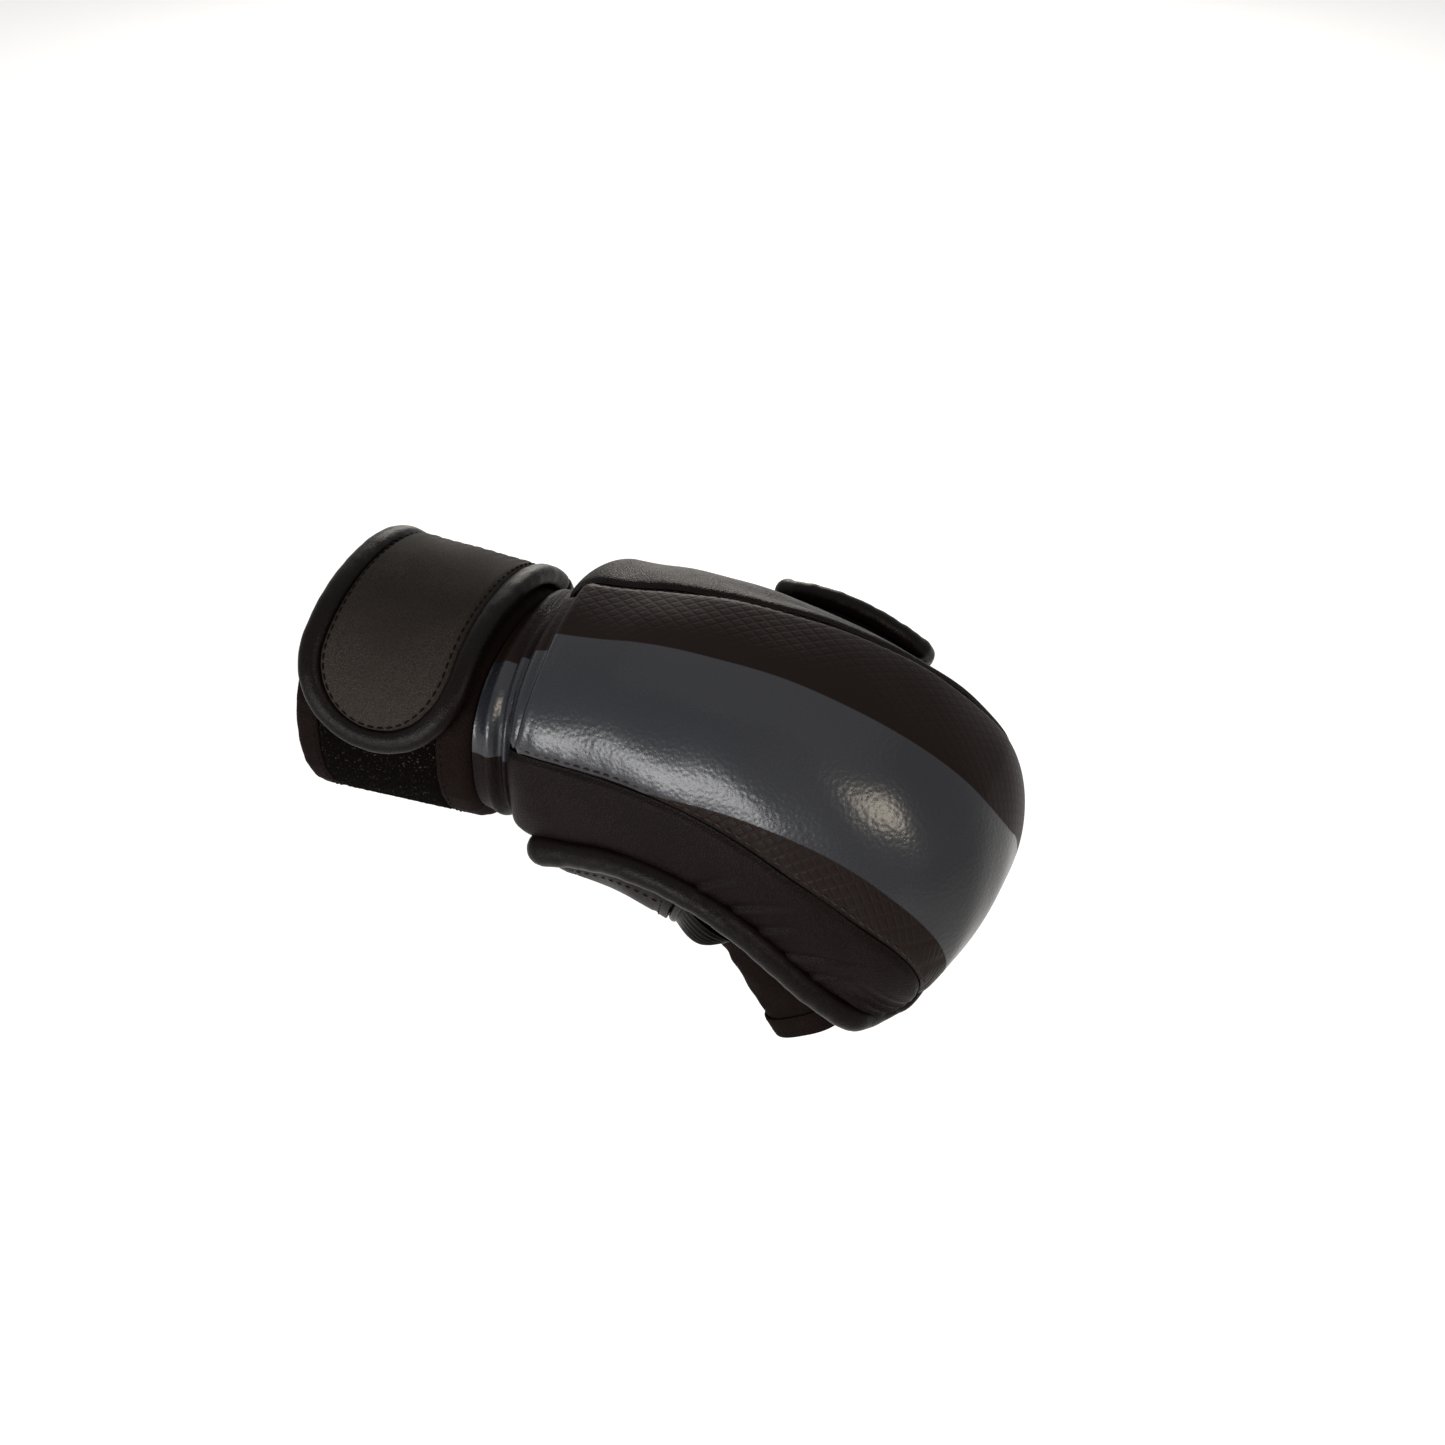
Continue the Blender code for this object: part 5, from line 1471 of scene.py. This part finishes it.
from_end = np.minimum(share - share[0], share[-1] - share) * thumb_length
from_side = THUMB_RADIUS * np.minimum(angle - THUMB_PAD_LOW, THUMB_PAD_HIGH - angle)
edge = np.minimum(from_end, from_side)
top = FOAM_EASE + THUMB_FOAM + GAP + THUMB_SKIN
shield_waves = [(0.12, 23.0, 70.0, 0.0), (0.08, -12.0, 47.0, 1.0)]
puff = top + SHIELD_PUFF + dent(edge, SHIELD_TUCK_WIDTH, SHIELD_TUCK)
puff = puff + ripples(share * thumb_length, np.degrees(angle), shield_waves)
shape = wall(thumb_surface(share, angle, puff), thumb_surface(share, angle, FOAM_EASE))
nodes = ["thumb_pad_foam", "thumb_pad_cover"]
shield = piece("thumb_shield", shape, side_leather, "thumb", nodes)
step = THUMB_ROLL / thumb_length
half_angle = (THUMB_PAD_HIGH - THUMB_PAD_LOW) / 2 + (THUMB_ROLL + GAP) / THUMB_RADIUS
turn = full_turn(320)
out, rise = section(turn, (1 - THUMB_PAD_FROM) / 2 - step, half_angle, half_angle, 3.6, 3.6)
out, rise = out + (THUMB_PAD_FROM + 1) / 2, rise + (THUMB_PAD_HIGH + THUMB_PAD_LOW) / 2
line, up = line_with_up(thumb_surface, out, rise, THUMB_ROLL + FOAM_EASE)
knot = 1 + KNOT_SWELL * bell(turn - KNOT_AT, KNOT_WIDTH)
size = THUMB_ROLL * knot * (1 + ripples(run_of(line), 0, [(0.025, 9.0, 1.0, 0.0), (0.02, 5.0, 1.0, 1.0)]))
thumb_edge = rolled(line, up, size, size, 22, closed=True)
piece("thumb_rolled_edge", thumb_edge, edge_leather, "thumb", ["thumb_roll"])

# %% [markdown]
# A soft web joins the thumb's underside to the palm strap, and a narrow one closes the gap between the
# thumb's root and the pad's side. Both cross the thumb's joint, and they sag a little between their seams.

# %% Thumb webs
WEB_FROM = 3.0
WEB_LENGTH = 24.0
WEB_SAG, WEB_WAVE, WEB_WAVE_RUN = -1.2, 0.4, 2.4
ROOT_WEB_SPAN = (99.0, 127.0)


def web(name, station, hand_edge, thumb_angle, stands_for=()):
    """A sheet from a line on the hand to a line on the thumb, sunk by the sine of the share across."""
    share = (station - THUMB_BASE[0]) / (THUMB_TIP[0] - THUMB_BASE[0])
    thumb_edge = thumb_surface(share, np.radians(thumb_angle), GAP)
    grid, across = between(thumb_edge, hand_edge)
    depth = WEB_SAG + WEB_WAVE * np.sin(station / WEB_WAVE_RUN)
    sag = np.sin(np.pi * across) * depth[:, None, None]
    shape = wall(grid + outward(grid) * sag, grid + outward(grid) * (sag - LEATHER))
    made = piece(name, shape, side_leather, None, stands_for)
    tuple(thumb_edge.mean(0) * MM)
    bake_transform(made)


station = PALM_FROM + WEB_FROM + WEB_LENGTH * np.linspace(0, 1, 50)
palm_side = palm_surface(station, -palm_edge_angle(station) - np.radians(7), leather_face + 2 * GAP)
web("thumb_soft_web", station, palm_side, -110, ["thumb_web"])
station = np.linspace(*ROOT_WEB_SPAN, 50)
web("thumb_root_web", station, pad_surface(station, np.radians(12.0)), 138)

# %% [markdown]
# ## Floor and light
# A white backdrop comes from the world and the floor, which are plain white to the camera and in
# reflections. The four lamps are soft: a key beside the little finger, a warm one in front of the
# knuckles, a broad one overhead and a weak rim from the thumb's side.

# %% Floor, world and lamps
FLOOR_HEIGHT = -0.26
FLOOR_REACH = 4.0


def seen_by(start):
    """1 for rays from the camera, in reflections and through clear things, and 0 for light on the glove."""
    kinds = ("Camera", "Glossy", "Transmission")
    camera_ray, *others = (start.node("ShaderNodeLightPath", out=f"Is {kind} Ray") for kind in kinds)
    for other in others:
        camera_ray = start.math("MAXIMUM", camera_ray, other)
    return camera_ray


floor_mesh = bpy.data.meshes.new("floor")
corners = FLOOR_REACH * np.array([(-1, -1), (1, -1), (1, 1), (-1, 1)])
floor_mesh.from_pydata([(*c, FLOOR_HEIGHT) for c in corners], [], [(0, 1, 2, 3)])
floor = bpy.data.objects.new("floor", floor_mesh)
bpy.context.scene.collection.objects.link(floor)
floor_finish, start, shader = new_finish("floor_white", 0.0)
shader.inputs["Base Color"].default_value = (0.9, 0.9, 0.9, 1)
shader.inputs["Roughness"].default_value = 1.0
shader.inputs["Emission Strength"].default_value = 1.0
mixed(seen_by(start), (0.0, 0.0, 0.0), (0.5, 0.5, 0.5)).into(shader, "Emission Color")
floor_mesh.materials.append(floor_finish)

world = bpy.context.scene.world or bpy.data.worlds.new("world")
bpy.context.scene.world = world
world.use_nodes = True
start = Wire(world.node_tree)
background = world.node_tree.nodes["Background"]
background.inputs["Color"].default_value = (1, 1, 1, 1)
(0.2 + 0.8 * seen_by(start)).into(background, "Strength")


def softbox(name, direction, distance, size, power, colour=(1.0, 1.0, 1.0)):
    """A rectangular area lamp that looks at the glove from a direction; size is width and height."""
    lamp = bpy.data.lights.new(name, "AREA")
    lamp.shape = "RECTANGLE"
    lamp.size, lamp.size_y = size
    lamp.energy, lamp.color = power, colour
    made = bpy.data.objects.new(name, lamp)
    towards = Vector(direction).normalized()
    made.location = TARGET + distance * towards
    made.rotation_euler = towards.to_track_quat("Z", "Y").to_euler()
    bpy.context.scene.collection.objects.link(made)


softbox("key_softbox", (-0.32, -0.94, 0.06), 1.3, (0.74, 0.30), 16.5)
softbox("warm_softbox", (0.62, -0.60, 0.50), 1.3, (0.24, 0.42), 8.0, (1.0, 0.90, 0.74))
softbox("overhead_softbox", (0.0, 0.1, 1.0), 1.6, (2.0, 2.0), 5.0)
softbox("rim_softbox", (-0.36, 0.92, 0.12), 1.4, (0.45, 0.26), 6.5, (1.0, 0.93, 0.85))
print("four lamps")

# %% Sizes and view settings
view = bpy.context.scene.view_settings
view.view_transform = "Standard"
